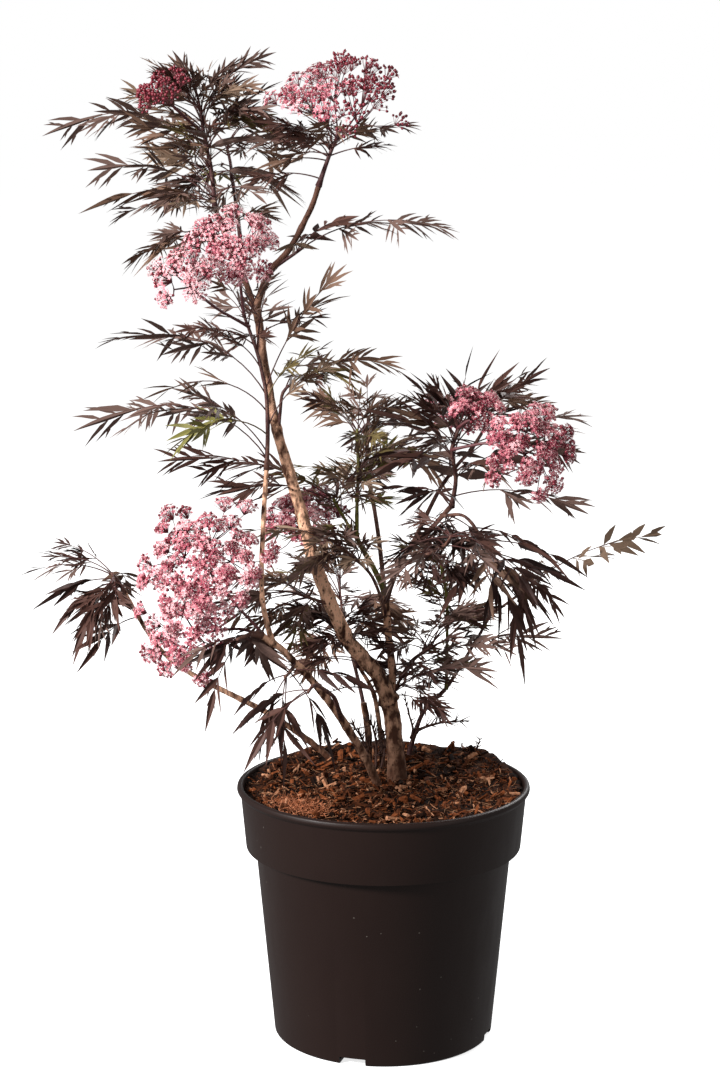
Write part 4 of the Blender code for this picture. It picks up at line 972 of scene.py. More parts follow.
def swept_stem(stem, sides, step, relief, on_ground):
    """A closed stem whose corners are moved in and out by bark, nodes and its collar."""
    points = smooth_route(stem.points, step)
    spans = [(b - a).length for a, b in zip(points, points[1:])]
    travelled = np.concatenate([[0.0], np.cumsum(spans)])
    coarse = [(b - a).length for a, b in zip(stem.points, stem.points[1:])]
    marks = np.concatenate([[0.0], np.cumsum(coarse)]) / sum(coarse)
    radii = np.interp(travelled / travelled[-1], marks, stem.radii)
    if not on_ground:
        points[0] = points[0] - (points[1] - points[0]).normalized() * SEAT
    corners, faces = tube(Stem(points, radii, None), sides)
    for k, point in enumerate(points):
        node = (travelled[k] + NODE_SPACING / 2) % NODE_SPACING - NODE_SPACING / 2
        swelling = NODE_SWELLING * math.exp(-(node / NODE_WIDTH) ** 2)
        if not on_ground:
            swelling += COLLAR_SWELLING * math.exp(-travelled[k] / COLLAR_LENGTH)
        for side in range(sides):
            corner = corners[k * sides + side]
            squeezed = Vector((corner.x, corner.y, corner.z * 0.5))
            bark = noise.noise(squeezed * 160) * 0.6 + noise.noise(squeezed * 620) * 0.4
            corners[k * sides + side] = point + (corner - point) * (1 + swelling + relief * bark)
    return corners, faces


BARK_LIMBS = ["trunk", "main_stem", "second_stem", "upper_right_bough", "leader", "left_bough",
              "left_upright", "low_left_bough", "side_stem", "cut_stub"]
THICK_LIMBS = ("trunk", "main_stem", "left_bough")
GREEN_MASSES = ("leaves_green_stem", "leaves_olive_arch", "leaves_right_upright")
old_wood, young_wood, green_wood = Sheaf(), Sheaf(), Sheaf()
for name, stem in stems.items():
    if name in BARK_LIMBS:
        sides = 28 if name in THICK_LIMBS else 18
        grounded = LIMBS[name].carrier is None
        old_wood.add(*swept_stem(stem, sides, 1.6 * MM, 0.20, grounded))
    elif name == "green_stem":
        green_wood.add(*swept_stem(stem, 14, 2.5 * MM, 0.05, False))
    elif name in LIMBS:
        grounded = LIMBS[name].carrier is None
        young_wood.add(*swept_stem(stem, 12, 2.5 * MM, 0.07, grounded))
    elif name in GREEN_MASSES:
        green_wood.add(*swept_stem(stem, 8, 4 * MM, 0.04, False))
    elif name in MASSES:
        young_wood.add(*swept_stem(stem, 8, 4 * MM, 0.04, False))

# %% [markdown]
# The oldest wood is light tan with dark scales and small warts. It is painted darker towards
# the mulch, a painted shade under the crown, and in a band where the main stem catches the
# light its light patches come more often, a painted highlight. It turns purple-brown towards
# the top where it is younger. Shoots are smooth and dark red, with a soft gloss, and one
# shoot in the middle is still green.

# %% Bark finishes
def bark_finish(name, light, dark, top, wart, gloss):
    made = Finish(name, Specular_IOR_Level=0.2)
    streaks = made.noise(185.0, 7.0, (1.0, 1.0, 0.5))
    fine = made.noise(620.0, 5.0, (1.0, 1.0, 0.5))
    warts = (made.dots(330.0, (1.0, 1.0, 0.75)) < 0.24) * (made.noise(70.0, 3.0) > 0.45)
    height = made.node("ShaderNodeSeparateXYZ", None, {"Vector": made.place()}, output="Z")
    # Painted light: in this band of heights the light patches come more often, where the main stem catches
    # the light.
    lit_band = made.between(height, 0.29, 0.34) * (1 - made.between(height, 0.41, 0.47))
    patches = made.mix(dark, light, made.between(streaks + lit_band * 0.10, 0.42, 0.60))
    aged = made.mix(patches, top, made.between(height, 0.44, 0.60))
    grained = made.mix(aged, dark, made.between(fine, 0.55, 0.80))
    # Painted shade: the stems are darkened towards their foot, where the crown shades them.
    shaded_foot = made.mix(dark, grained, made.between(height, 0.195, 0.305))
    made.feed("Base Color", made.mix(shaded_foot, wart, warts * 0.8))
    made.feed("Roughness", gloss + streaks * 0.3)
    made.bump(fine * 0.6 + warts * 0.7 + streaks * 1.2, 1.0, 0.0014)
    return made


old_wood.piece("bark_stems", bark_finish(
    "bark", colour(1.0, 0.57, 0.37), colour(0.066, 0.024, 0.012), colour(0.120, 0.054, 0.036),
    colour(0.050, 0.020, 0.012), 0.6), "bark", BARK_LIMBS, smooth=True)
young_limbs = [name for name in LIMBS if name not in BARK_LIMBS and name != "green_stem"]
young_wood.piece("young_stems", bark_finish(
    "young_bark", colour(0.17, 0.082, 0.060), colour(0.060, 0.024, 0.024),
    colour(0.085, 0.036, 0.036), colour(0.22, 0.13, 0.10), 0.35),
    "young_bark", young_limbs, smooth=True)
green_wood.piece("green_stem_bark", bark_finish(
    "green_bark", colour(0.20, 0.20, 0.045), colour(0.11, 0.085, 0.035),
    colour(0.15, 0.115, 0.05), colour(0.06, 0.05, 0.02), 0.35),
    "green_bark", ["green_stem"], smooth=True)

# %% [markdown]
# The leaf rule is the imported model's own, draw for draw: a rib that arches over evenly,
# pairs of leaflets along it and one at its end. The same seeds give the same leaves, so the
# fine leaves below hang just where the plain ones do.

# %% The growing rule
RIB_END = 0.72
RIB_STEPS = 10
LONG_LEAF = 112 * MM
PAIRS_OF_SHORT = ((0.36, 0.38), (0.56, 0.36))
PAIRS_OF_LONG = ((0.28, 0.32), (0.44, 0.35), (0.60, 0.33))
END_LEAFLET = 0.36
LEAFLET_WIDTH = 0.20
WIDEST = 0.42
ROLL = (15, 75)
FIRST_PAIR = 0.10
LAST_PAIR = 0.92
BEARING_JITTER = 14
RISE_JITTER = 8
END_SUNK = 4 * MM

Course = namedtuple("Course", "share bearing rise bend length")
Leaf = namedtuple("Leaf", "rib leaflets course")
Leaflet = namedtuple("Leaflet", "root middle front top tip")
Habit = namedtuple("Habit", "spread sag least")
PACKED_HABIT = Habit((36, 50), 0.18, 0.0)


def level_across(forward):
    """A level direction across the way a rib or a leaflet runs, to its right."""
    across = forward.cross(UP)
    if across.length < 0.15:
        across = Vector((0.0, 1.0, 0.0))
    return (across - forward * across.dot(forward)).normalized()


def grow_leaflet(rng, side, root, forward, direction, length, sag):
    """Where one leaflet is widest, which way its edge and its upper side turn, its tip."""
    if side:
        front = forward
    else:
        front = level_across(forward)
    front = (front - direction * front.dot(direction)).normalized()
    top = direction.cross(front)
    if top.z < 0:
        top = -top
    roll = Matrix.Rotation(math.radians(rng.uniform(*ROLL)) * rng.choice((-1, 1)), 3, direction)
    half = length * LEAFLET_WIDTH / 2
    middle = root + direction * length * WIDEST - UP * length * sag * 0.12
    tip = root + direction * length - UP * length * sag * 0.5
    return Leaflet(root, middle, roll @ front * half, roll @ top, tip)


def grow_leaf(rng, base, course, habit=PACKED_HABIT):
    """One leaf: its rib arches over evenly from its first rise, angles in degrees."""
    bearing, length = math.radians(course.bearing), course.length
    level = Vector((math.cos(bearing), math.sin(bearing), 0.0))
    rise, bend = math.radians(course.rise), math.radians(course.bend)

    def heading(share):
        lift = rise - bend * share
        return level * math.cos(lift) + UP * math.sin(lift)

    def rib(share):
        lift = rise - bend * share
        out = (math.sin(rise) - math.sin(lift)) / bend
        high = (math.cos(lift) - math.cos(rise)) / bend
        return base + length * (level * out + UP * high)

    pairs = PAIRS_OF_LONG if length > LONG_LEAF else PAIRS_OF_SHORT
    leaflets = []
    for place, reach in pairs:
        for side in (-1, 1):
            forward = heading(place)
            spread = math.radians(rng.uniform(*habit.spread))
            direction = forward * math.cos(spread)
            direction += level_across(forward) * side * math.sin(spread)
            direction = (direction - UP * rng.uniform(0.0, 2 * habit.sag)).normalized()
            size = max(habit.least, length * reach * rng.uniform(0.85, 1.1))
            leaflets.append(
                grow_leaflet(rng, side, rib(place), forward, direction, size, habit.sag))
    forward = heading(RIB_END)
    size = max(habit.least, length * END_LEAFLET * rng.uniform(0.9, 1.05))
    leaflets.append(grow_leaflet(rng, 0, rib(RIB_END), forward, forward, size, habit.sag))
    ribs = [rib(RIB_END * k / RIB_STEPS) for k in range(RIB_STEPS + 1)]
    return Leaf(ribs, leaflets, course)


def leaves_wanted(name, mass, stem):
    """The leaves that stand out, then opposite pairs up the stem, then one at its end."""
    rng = random.Random(mass.seed)
    for share, bearing, rise, bend, length in SHOWN.get(name, ()):
        base, _ = along(stem, share)
        yield grow_leaf(rng, base, Course(share, bearing, rise, bend, length * MM))
    for k in range(mass.pairs):
        share = k / (mass.pairs - 1) if mass.pairs > 1 else 0.8
        height = FIRST_PAIR + (LAST_PAIR - FIRST_PAIR) * share
        base, _ = along(stem, height)
        rise = mass.rise[0] + (mass.rise[1] - mass.rise[0]) * share
        size = mass.leaf[0] + (mass.leaf[1] - mass.leaf[0]) * share
        for half in (0, 180):
            bearing = mass.turn + mass.step * k + half
            bearing += rng.uniform(-BEARING_JITTER, BEARING_JITTER)
            bias = 1 + mass.favour * math.cos(math.radians(bearing - mass.toward))
            length = size * MM * bias * rng.uniform(0.92, 1.08)
            lift = rise + rng.uniform(-RISE_JITTER, RISE_JITTER)
            yield grow_leaf(rng, base, Course(height, bearing, lift, mass.bend, length))
    if mass.end:
        base, heading = along(stem, TIP)
        bearing = math.degrees(math.atan2(heading.y, heading.x))
        rise = math.degrees(math.asin(heading.z))
        length = mass.leaf[1] * mass.end * MM
        yield grow_leaf(rng, base - heading * END_SUNK,
                        Course(TIP, bearing, rise, mass.bend, length))


# %% [markdown]
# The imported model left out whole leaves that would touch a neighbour. We can see which, as
# every leaf that it kept has the tips of its leaflets among the corners of its solid. A k-d
# tree finds the nearest corner to a tip at once. A kept leaf grows all its leaflets here,
# because fine ones may cross where solid ones may not.

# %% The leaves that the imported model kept
SAME_PLACE = 0.1 * MM


def corner_tree(name):
    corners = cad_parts[name].data.vertices
    tree = KDTree(len(corners))
    for index, corner in enumerate(corners):
        tree.insert(corner.co, index)
    tree.balance()
    return tree


grown = {}
for name, mass in MASSES.items():
    tree = corner_tree(name)
    grown[name] = []
    for leaf in leaves_wanted(name, mass, stems[name]):
        kept = [leaflet for leaflet in leaf.leaflets if tree.find(leaflet.tip)[2] < SAME_PLACE]
        if len(kept) >= 2:
            grown[name].append(leaf)
print("leaves of the packed model:", sum(len(leaves) for leaves in grown.values()))

# %% [markdown]
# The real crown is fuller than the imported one. Finer leaves fill it, and most of them are
# younger sisters of a packed leaf: the same course, turned, lifted and shortened a little, so
# that the sprays grow dense and the sky between them stays open. The others follow the
# habit of their mass. Each stays inside the reach of its mass, or it is shortened, and one
# that would run through a limb or a flower head is left out.

# %% Finer leaves in between
FINER = {
    "leaves_top_left": 46, "leaves_leader_left": 6, "leaves_top_right": 7,
    "leaves_right_arch": 2, "leaves_left_upright": 9, "leaves_middle_right": 4,
    "leaves_green_stem": 22, "leaves_olive_arch": 15, "leaves_middle_left": 28,
    "leaves_middle_low": 13, "leaves_right_crown": 15, "leaves_right_droop": 13,
    "leaves_far_right": 0, "leaves_low_right": 22, "leaves_right_upright": 27,
    "leaves_low_left": 16, "leaves_left_cluster": 7, "leaves_left_node": 3,
    "leaves_inner": 26, "leaves_back_top": 12, "leaves_back_middle": 7,
    "leaves_back_right": 9, "leaves_back_low": 17, "leaves_front_left": 2,
    "leaves_front_right": 23,
}
FINER_HABIT = Habit((28, 56), 0.10, 24 * MM)
FINER_SIZE = (0.6, 1.0)
FINER_RISE = 18
FINER_TURN = 137.5
SISTERS = 0.5
LOW_SISTERS = 0.35
STEEPEST = 86
LIFTED = {
    "leaves_top_left": (2.5, 16), "leaves_green_stem": (0.6, 22), "leaves_olive_arch": (1.0, 18),
    "leaves_middle_left": (1.0, 28), "leaves_right_upright": (0.8, 20),
    "leaves_inner": (1.0, 20), "leaves_back_low": (1.0, 18), "leaves_front_right": (1.0, 20),
    "leaves_low_right": (1.0, 14),
}
SISTER_SIZE = (0.6, 1.0)
SISTER_JITTER = Course(0.2, 24, 14, 10, 0)
REACH_MARGIN = 3 * MM
SHORTENING = 0.86


def solid_tree(names):
    """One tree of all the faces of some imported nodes, to cast rays at."""
    corners, faces = [], []
    for name in names:
        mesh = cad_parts[name].data
        start = len(corners)
        corners += [corner.co for corner in mesh.vertices]
        faces += [[start + index for index in face.vertices] for face in mesh.polygons]
    return BVHTree.FromPolygons(corners, faces)


obstacles = solid_tree([*LIMBS, *UMBELS])


def crosses(start, end):
    span = end - start
    return obstacles.ray_cast(start, span.normalized(), span.length)[0] is not None


def leaf_is_free(leaf):
    """Whether the rib, past its root, runs clear of limbs and flowers."""
    return not any(crosses(start, end) for start, end in zip(leaf.rib[1:], leaf.rib[2:]))


def leaf_is_inside(leaf, low, high):
    """Whether every tip lies in the space of its mass."""
    for place in [leaf.rib[-1], *(leaflet.tip for leaflet in leaf.leaflets)]:
        for value, least, most in zip(place, low, high):
            if not least - REACH_MARGIN < value < most + REACH_MARGIN:
                return False
    return True


def sister_course(rng, packed):
    """The course of a packed leaf, a little turned, lifted and shortened."""
    near = packed.share + rng.uniform(-SISTER_JITTER.share, SISTER_JITTER.share)
    return Course(min(1.0, max(0.0, near)),
                  packed.bearing + rng.gauss(0, SISTER_JITTER.bearing),
                  packed.rise + rng.gauss(0, SISTER_JITTER.rise),
                  packed.bend + rng.gauss(0, SISTER_JITTER.bend),
                  min(packed.length, LONG_LEAF) * rng.uniform(*SISTER_SIZE))


def habit_course(rng, k, mass):
    """A course by the habit of the mass; a share under 0 is on the bough below it."""
    place = rng.uniform(-0.28, 1.0)
    share = max(0.0, place)
    rise = mass.rise[0] + (mass.rise[1] - mass.rise[0]) * share
    size = mass.leaf[0] + (mass.leaf[1] - mass.leaf[0]) * share
    return Course(place, mass.turn + FINER_TURN * k + rng.uniform(-25, 25),
                  rise + rng.uniform(-FINER_RISE, FINER_RISE), mass.bend,
                  size * MM * rng.uniform(*FINER_SIZE))


def finer_leaf(rng, k, name, mass, low, high):
    """One finer leaf, shortened until it fits, or None."""
    if rng.random() < SISTERS:
        packed = [leaf.course for leaf in grown[name]]
        power, lift = LIFTED.get(name, (1.0, 0))
        weights = [(LOW_SISTERS + course.share) ** power for course in packed]
        course = sister_course(rng, rng.choices(packed, weights)[0])
        course = course._replace(rise=min(course.rise + lift, STEEPEST))
    else:
        course = habit_course(rng, k, mass)
    if course.share < 0 and mass.at == TIP:
        base, _ = along(stems[mass.carrier], 1 + course.share)
    else:
        base, _ = along(stems[name], abs(course.share))
    seed = rng.random()
    for _ in range(5):
        leaf = grow_leaf(random.Random(seed), base, course, FINER_HABIT)
        if leaf_is_inside(leaf, low, high):
            return leaf if leaf_is_free(leaf) else None
        course = course._replace(length=course.length * SHORTENING)
    return None


finer = {}
for name, mass in MASSES.items():
    rng = random.Random(mass.seed + 500)
    low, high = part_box(name)
    tried = [finer_leaf(rng, k, name, mass, low, high) for k in range(FINER[name])]
    finer[name] = [leaf for leaf in tried if leaf]
print("finer leaves:", sum(len(leaves) for leaves in finer.values()))

# %% [markdown]
# A leaflet is cut nearly to its midrib into long narrow lobes that point forward, and that is
# what makes the plant look like lace. Six cuts are seen on it. `lace` has four long lobes
# near its foot, `spray` carries them on a bare foot, as the lowest leaflets do, `long` has more
# of them and belongs to the great arching leaves, `blade` is broad with short forward lobes,
# `thread` is a thin fork and `twin` is a row of small whole leaflets. A cut says how wide the middle strip
# is along its length, and how its lobes are set.

# %% Six cuts of a leaflet
Cut = namedtuple("Cut", "half widths lobes first last reach slim angles tooth")
STATIONS = (0.0, 0.12, 0.26, 0.40, 0.55, 0.70, 0.86)
CUTS = {
    "lace": Cut(0.058, (0.20, 0.32, 0.60, 0.90, 1.00, 0.80, 0.42), 2, 0.04, 0.44, 0.84, 0.068,
                (18, 36), 0.30),
    "blade": Cut(0.078, (0.14, 0.45, 0.85, 1.00, 0.90, 0.68, 0.34), 2, 0.10, 0.60, 0.25, 0.10,
                 (14, 26), 0.0),
    "thread": Cut(0.046, (0.30, 0.40, 0.60, 0.90, 1.00, 0.85, 0.45), 1, 0.05, 0.36, 0.72, 0.066,
                  (16, 30), 0.15),
    "twin": Cut(0.095, (0.09, 0.09, 0.09, 0.09, 0.12, 0.60, 1.00), 2, 0.02, 0.80, 0.74, 0.14,
                (24, 46), 0.0),
    "spray": Cut(0.050, (0.24, 0.24, 0.50, 0.85, 1.00, 0.85, 0.45), 2, 0.14, 0.50, 0.80, 0.068,
                 (20, 38), 0.35),
    "long": Cut(0.040, (0.34, 0.50, 0.72, 0.95, 1.00, 0.80, 0.42), 3, 0.06, 0.74, 0.66, 0.066,
                (18, 36), 0.50),
}
BLADE_STRETCH = 1.4
FOLD = 0.45
LOBE_MISSING = 0.10


def add_lobe(corners, faces, base, ahead, flat, length, slim):
    """A narrow pointed lobe, widest at a third of its length and ending in a fine point."""
    across = ahead.cross(flat).normalized() * length * slim
    near = base + ahead * length * 0.32
    far = base + ahead * length * 0.66 - UP * length * 0.03
    tip = base + ahead * length - UP * length * 0.10
    start = len(corners)
    corners += [base, near - across, near + across, far - across * 0.62, far + across * 0.62, tip]
    faces += [(start, start + 2, start + 1), (start + 1, start + 2, start + 4, start + 3),
              (start + 3, start + 4, start + 5)]
    return near.lerp(far, 0.4)


def cut_leaflet(leaflet, cut, rng):
    """Corners and faces of one lobed leaflet: a folded middle strip and its lobes."""
    root, tip = leaflet.root, leaflet.tip
    if cut is CUTS["blade"]:
        tip = root.lerp(tip, BLADE_STRETCH)
    length = (tip - root).length
    pull = 2 * WIDEST * (1 - WIDEST)
    control = (leaflet.middle - root * (1 - WIDEST) ** 2 - tip * WIDEST ** 2) / pull
    corners, faces = [], []

    def station(share):
        place = root * (1 - share) ** 2 + control * 2 * share * (1 - share) + tip * share ** 2
        heading = ((control - root) * (1 - share) + (tip - control) * share).normalized()
        across = leaflet.front - heading * leaflet.front.dot(heading)
        across.normalize()
        lift = across.cross(heading)
        if lift.dot(leaflet.top) < 0:
            lift = -lift
        half = length * cut.half * np.interp(share, (*STATIONS, 1.0), (*cut.widths, 0.0))
        return place, heading, across, lift, half

    for share in STATIONS:
        place, _, across, lift, half = station(share)
        corners += [place - across * half + lift * half * FOLD, place,
                    place + across * half + lift * half * FOLD]
    corners.append(tip)
    last = 3 * (len(STATIONS) - 1)
    for a in range(0, last, 3):
        faces += [(a, a + 1, a + 4, a + 3), (a + 1, a + 2, a + 5, a + 4)]
    faces += [(last, last + 1, last + 3), (last + 1, last + 2, last + 3)]

    pitch = (cut.last - cut.first) / cut.lobes
    for k in range(cut.lobes):
        for side in (-1, 1):
            if rng.random() < LOBE_MISSING:
                continue
            share = cut.first + pitch * (k + 0.5 + 0.2 * side + rng.uniform(-0.2, 0.2))
            place, heading, across, lift, half = station(share)
            outward = across * side
            angle = math.radians(rng.uniform(*cut.angles))
            ahead = heading * math.cos(angle) + outward * math.sin(angle)
            ahead = (ahead + lift * rng.uniform(-0.12, 0.22)).normalized()
            reach = length * cut.reach * (1 - 0.5 * share) * rng.uniform(0.72, 1.15)
            flat = (lift + outward * rng.uniform(-0.5, 0.3)).normalized()
            base = place + outward * half * 0.4 + lift * half * 0.4 * FOLD
            fork = add_lobe(corners, faces, base, ahead, flat, reach, cut.slim)
            if rng.random() < cut.tooth:
                aside = (ahead * 0.8 + outward * rng.uniform(0.3, 0.6)).normalized()
                add_lobe(corners, faces, fork, aside, flat, reach * 0.36, 0.10)
    return corners, faces


# %% [markdown]
# Colour is dealt out leaf by leaf. Old leaves are nearly black, the top of the crown is
# bronze, and the young leaves in the middle are olive. The purplish brown on leaves that catch
# the light is painted light, and the smoky grey purple is partly a painted sheen. Every shade
# is one piece with one plain colour, gathered from the whole plant.

# %% Leaf shades and cuts
# Painted light: plum stands for leaves that catch the light, and smoke is partly a painted sheen.
SHADES = {
    "night": (colour(0.0440, 0.0205, 0.0168), 0.46, "leaf_black"),
    "plum": (colour(0.092, 0.0430, 0.0335), 0.50, "leaf_black"),
    "smoke": (colour(0.144, 0.087, 0.071), 0.54, "leaf_black"),
    "bronze": (colour(0.165, 0.094, 0.063), 0.55, "leaf_black"),
    "tawny": (colour(0.240, 0.158, 0.108), 0.58, "leaf_black"),
    "olive": (colour(0.150, 0.112, 0.044), 0.55, "leaf_olive"),
    "moss": (colour(0.185, 0.168, 0.048), 0.52, "leaf_olive"),
}
DARK_MIX = (0.34, 0.44, 0.18, 0.04, 0.0, 0.0, 0.0)
NIGHT_MIX = (0.66, 0.30, 0.04, 0.0, 0.0, 0.0, 0.0)
GREY_MIX = (0.20, 0.46, 0.30, 0.04, 0.0, 0.0, 0.0)
CROWN_MIX = (0.02, 0.18, 0.32, 0.32, 0.12, 0.04, 0.0)
MIDDLE_MIX = (0.03, 0.22, 0.34, 0.28, 0.05, 0.06, 0.02)
YOUNG_MIX = (0.0, 0.05, 0.18, 0.30, 0.18, 0.22, 0.07)
FAR_MIX = (0.0, 0.0, 0.25, 0.50, 0.25, 0.0, 0.0)
MOSSY_MIX = (0.04, 0.14, 0.14, 0.20, 0.06, 0.24, 0.18)
MIXES = {
    "leaves_right_crown": DARK_MIX, "leaves_right_droop": DARK_MIX,
    "leaves_left_cluster": GREY_MIX, "leaves_left_node": NIGHT_MIX,
    "leaves_front_left": NIGHT_MIX, "leaves_low_left": GREY_MIX,
    "leaves_front_right": DARK_MIX, "leaves_inner": GREY_MIX, "leaves_low_right": GREY_MIX,
    "leaves_top_left": CROWN_MIX, "leaves_right_arch": CROWN_MIX,
    "leaves_leader_left": CROWN_MIX, "leaves_far_right": FAR_MIX,
    "leaves_middle_left": CROWN_MIX, "leaves_back_middle": CROWN_MIX,
    "leaves_green_stem": YOUNG_MIX, "leaves_olive_arch": YOUNG_MIX,
    "leaves_right_upright": MOSSY_MIX,
}
BROAD_CUTS = (0.10, 0.90, 0.0, 0.0)
HALF_BROAD_CUTS = (0.55, 0.45, 0.0, 0.0)
USUAL_CUTS = (0.80, 0.08, 0.12, 0.0)
FINE_CUTS = (0.60, 0.0, 0.40, 0.0)
TWIN_CUTS = (0.0, 0.0, 0.0, 1.0)
CUT_MIXES = {
    "leaves_right_droop": BROAD_CUTS, "leaves_front_left": BROAD_CUTS,
    "leaves_left_cluster": BROAD_CUTS, "leaves_left_node": BROAD_CUTS,
    "leaves_right_crown": HALF_BROAD_CUTS, "leaves_low_left": HALF_BROAD_CUTS,
    "leaves_green_stem": FINE_CUTS, "leaves_inner": FINE_CUTS, "leaves_low_right": FINE_CUTS,
    "leaves_right_upright": FINE_CUTS, "leaves_right_arch": BROAD_CUTS,
    "leaves_far_right": TWIN_CUTS, "leaves_middle_left": FINE_CUTS,
    "leaves_olive_arch": FINE_CUTS,
}
SPRAY_FOOT = 2
LONG_SHADES = ("plum", "smoke", "bronze")
LEAF_SHEEN = 0.13
RIB_FOOT = 0.62 * MM
RIB_TOP = 0.30 * MM
RIB_SIDES = 5

blades = {shade: Sheaf() for shade in SHADES}
dark_ribs, olive_ribs = Sheaf(), Sheaf()
leaflet_count = 0
for name in MASSES:
    rng = random.Random(MASSES[name].seed + 900)
    mix = MIXES.get(name, MIDDLE_MIX)
    for leaf in grown[name] + finer[name]:
        shade = rng.choices(list(SHADES), mix)[0]
        kind = rng.choices(list(CUTS)[:4], CUT_MIXES.get(name, USUAL_CUTS))[0]
        if leaf.course.length > LONG_LEAF and kind != "twin":
            shade, kind = rng.choice(LONG_SHADES), "long"
        radii = [RIB_FOOT + (RIB_TOP - RIB_FOOT) * k / RIB_STEPS for k in range(RIB_STEPS + 1)]
        ribs = olive_ribs if SHADES[shade][2] == "leaf_olive" else dark_ribs
        ribs.add(*tube(Stem(leaf.rib, radii, None), RIB_SIDES))
        for k, leaflet in enumerate(leaf.leaflets):
            on_foot = kind == "lace" and k < SPRAY_FOOT
            blades[shade].add(*cut_leaflet(leaflet, CUTS["spray" if on_foot else kind], rng))
            leaflet_count += 1
print("leaflets:", leaflet_count)
for shade, (tint, gloss, slot) in SHADES.items():
    made = Finish("leaf_" + shade, Base_Color=tint, Roughness=gloss,
                  Specular_IOR_Level=LEAF_SHEEN)
    blades[shade].piece("blades_" + shade, made, slot, list(MASSES))
dark_ribs.piece("leaf_ribs_dark", Finish(
    "rib_dark", Base_Color=colour(0.085, 0.032, 0.028), Roughness=0.45,
    Specular_IOR_Level=0.3), "leaf_black", smooth=True)
olive_ribs.piece("leaf_ribs_olive", Finish(
    "rib_olive", Base_Color=colour(0.17, 0.115, 0.045), Roughness=0.45,
    Specular_IOR_Level=0.3), "leaf_olive", smooth=True)

# %% [markdown]
# A floret is a star of five pink petals, about four millimetres across. It is modelled once:
# a ten-cornered disc whose every second corner is drawn in, with its middle pushed down.
# A bud is a small ball drawn out to a point, and the stamens are four thin triangles that
# stand up from the middle. Thousands of copies then need few faces each.

# %% One floret, one bud and the stamens
PETALS = 5


def is_notch(place):
    """Whether a corner of the disc lies between two petals."""
    step = math.atan2(place.y, place.x) / (math.tau / (2 * PETALS))
    return place.length > 0.5 and round(step) % 2 == 1


floret_obj = add_primitive(bpy.ops.mesh.primitive_circle_add, "floret", vertices=2 * PETALS,
                           radius=1.0, fill_type="TRIFAN", rotation=(0.0, 0.0, math.pi / 2))
leave_edit_mode()
bpy.ops.object.transform_apply(rotation=True)
bpy.ops.object.mode_set(mode="EDIT")
pick(floret_obj, is_notch)
bpy.ops.transform.resize(value=(0.42, 0.42, 1.0), center_override=(0.0, 0.0, 0.0))
pick(floret_obj, lambda place: place.length < 0.1)
bpy.ops.transform.translate(value=(0.0, 0.0, -0.28))
leave_edit_mode()
FLORET = shape_of(floret_obj)

bud_obj = add_primitive(bpy.ops.mesh.primitive_ico_sphere_add, "bud", subdivisions=1, radius=1.0)
pick(bud_obj, lambda place: place.z > 0.9)
bpy.ops.transform.translate(value=(0.0, 0.0, 0.35))
leave_edit_mode()
BUD = shape_of(bud_obj)

STAMEN_COUNT = 4
STAMEN_WIDTH = 0.07
stamen_corners, stamen_faces = [], []
for k in range(STAMEN_COUNT):
    angle = math.tau * (k + 0.5) / STAMEN_COUNT
    c, s = math.cos(angle), math.sin(angle)
    stamen_corners += [(-s * STAMEN_WIDTH, c * STAMEN_WIDTH, -0.2),
                       (s * STAMEN_WIDTH, -c * STAMEN_WIDTH, -0.2), (0.55 * c, 0.55 * s, 0.7)]
    stamen_faces.append([3 * k, 3 * k + 1, 3 * k + 2])
STAMENS = (np.array(stamen_corners), stamen_faces)
print("floret faces:", len(FLORET[1]), "bud faces:", len(BUD[1]))

# %% [markdown]
# In a flower head the stalk forks into rays, the rays into smaller ones, and each ends in a
# tuft of florets on threads. The tufts are spread over the imported dome like the seeds of a
# sunflower, and light comes through between them. The head at the top right is loose and
# half in bud, the one at the top left wholly, and the pair below it is a fine pale cloud, its
# paleness partly painted light. A row says how much is in bud, how the petal colours are
# dealt out, how many florets a tuft has, how large they are, and how wide a tuft is, in
# millimetres.

# %% Flower heads
LOBE_DEPTH = 0.30
TUFTS_TO_AREA = 1.0
BUD_RADIUS = 1.3
RAY_COUNT = 5
SUNFLOWER_TURN = math.radians(137.508)
MISSING_TUFTS = 0.06
THREAD_RADII = (0.24, 0.15)
OPEN_SIDE = -6 * MM
HEAD_SHIFT = {
    "blossom_top_right": Vector((1, 0, -6)) * MM,
    "blossom_upper_left": Vector((-5, 0, 3)) * MM,
}

Head = namedtuple("Head", "budded mix florets size tuft")
USUAL_HEAD = Head(0.12, (0.22, 0.30, 0.28, 0.20), (32, 42), (1.6, 2.4), 7.8)
PALE_HEAD = Head(0.10, (0.56, 0.28, 0.11, 0.05), (44, 56), (1.3, 1.9), 9.0)
ROSY_HEAD = Head(0.14, (0.12, 0.24, 0.36, 0.28), (26, 34), (1.6, 2.3), 7.0)
HEADS = {
    "blossom_top_right": Head(0.9, (0.04, 0.22, 0.40, 0.34), (12, 17), (2.0, 2.7), 8.2),
    "blossom_top_left": Head(1.0, (0.0, 0.0, 0.5, 0.5), (12, 16), (1.6, 2.0), 6.4),
    "blossom_upper_left": PALE_HEAD, "blossom_upper_left_low": PALE_HEAD,
    "blossom_right": ROSY_HEAD, "blossom_far_right": ROSY_HEAD,
}
# The pinks are partly the florets' own range and partly painted light: pale and blush stand for lit petals
# and their glints, deep for petals in shade inside a head.
PETAL_COLOURS = {
    "pale": colour(0.96, 0.57, 0.61),
    "blush": colour(0.80, 0.275, 0.340),
    "rose": colour(0.50, 0.090, 0.145),
    "deep": colour(0.25, 0.024, 0.050),
}

petals = {tint: Sheaf() for tint in PETAL_COLOURS}
buds, rays, threads, stamens = Sheaf(), Sheaf(), Sheaf(), Sheaf()
floret_count = 0


def facing(direction, spin):
    """A turn that points a shape's +Z along a direction."""
    return direction.to_track_quat("Z", "Y").to_matrix() @ Matrix.Rotation(spin, 3, "Z")


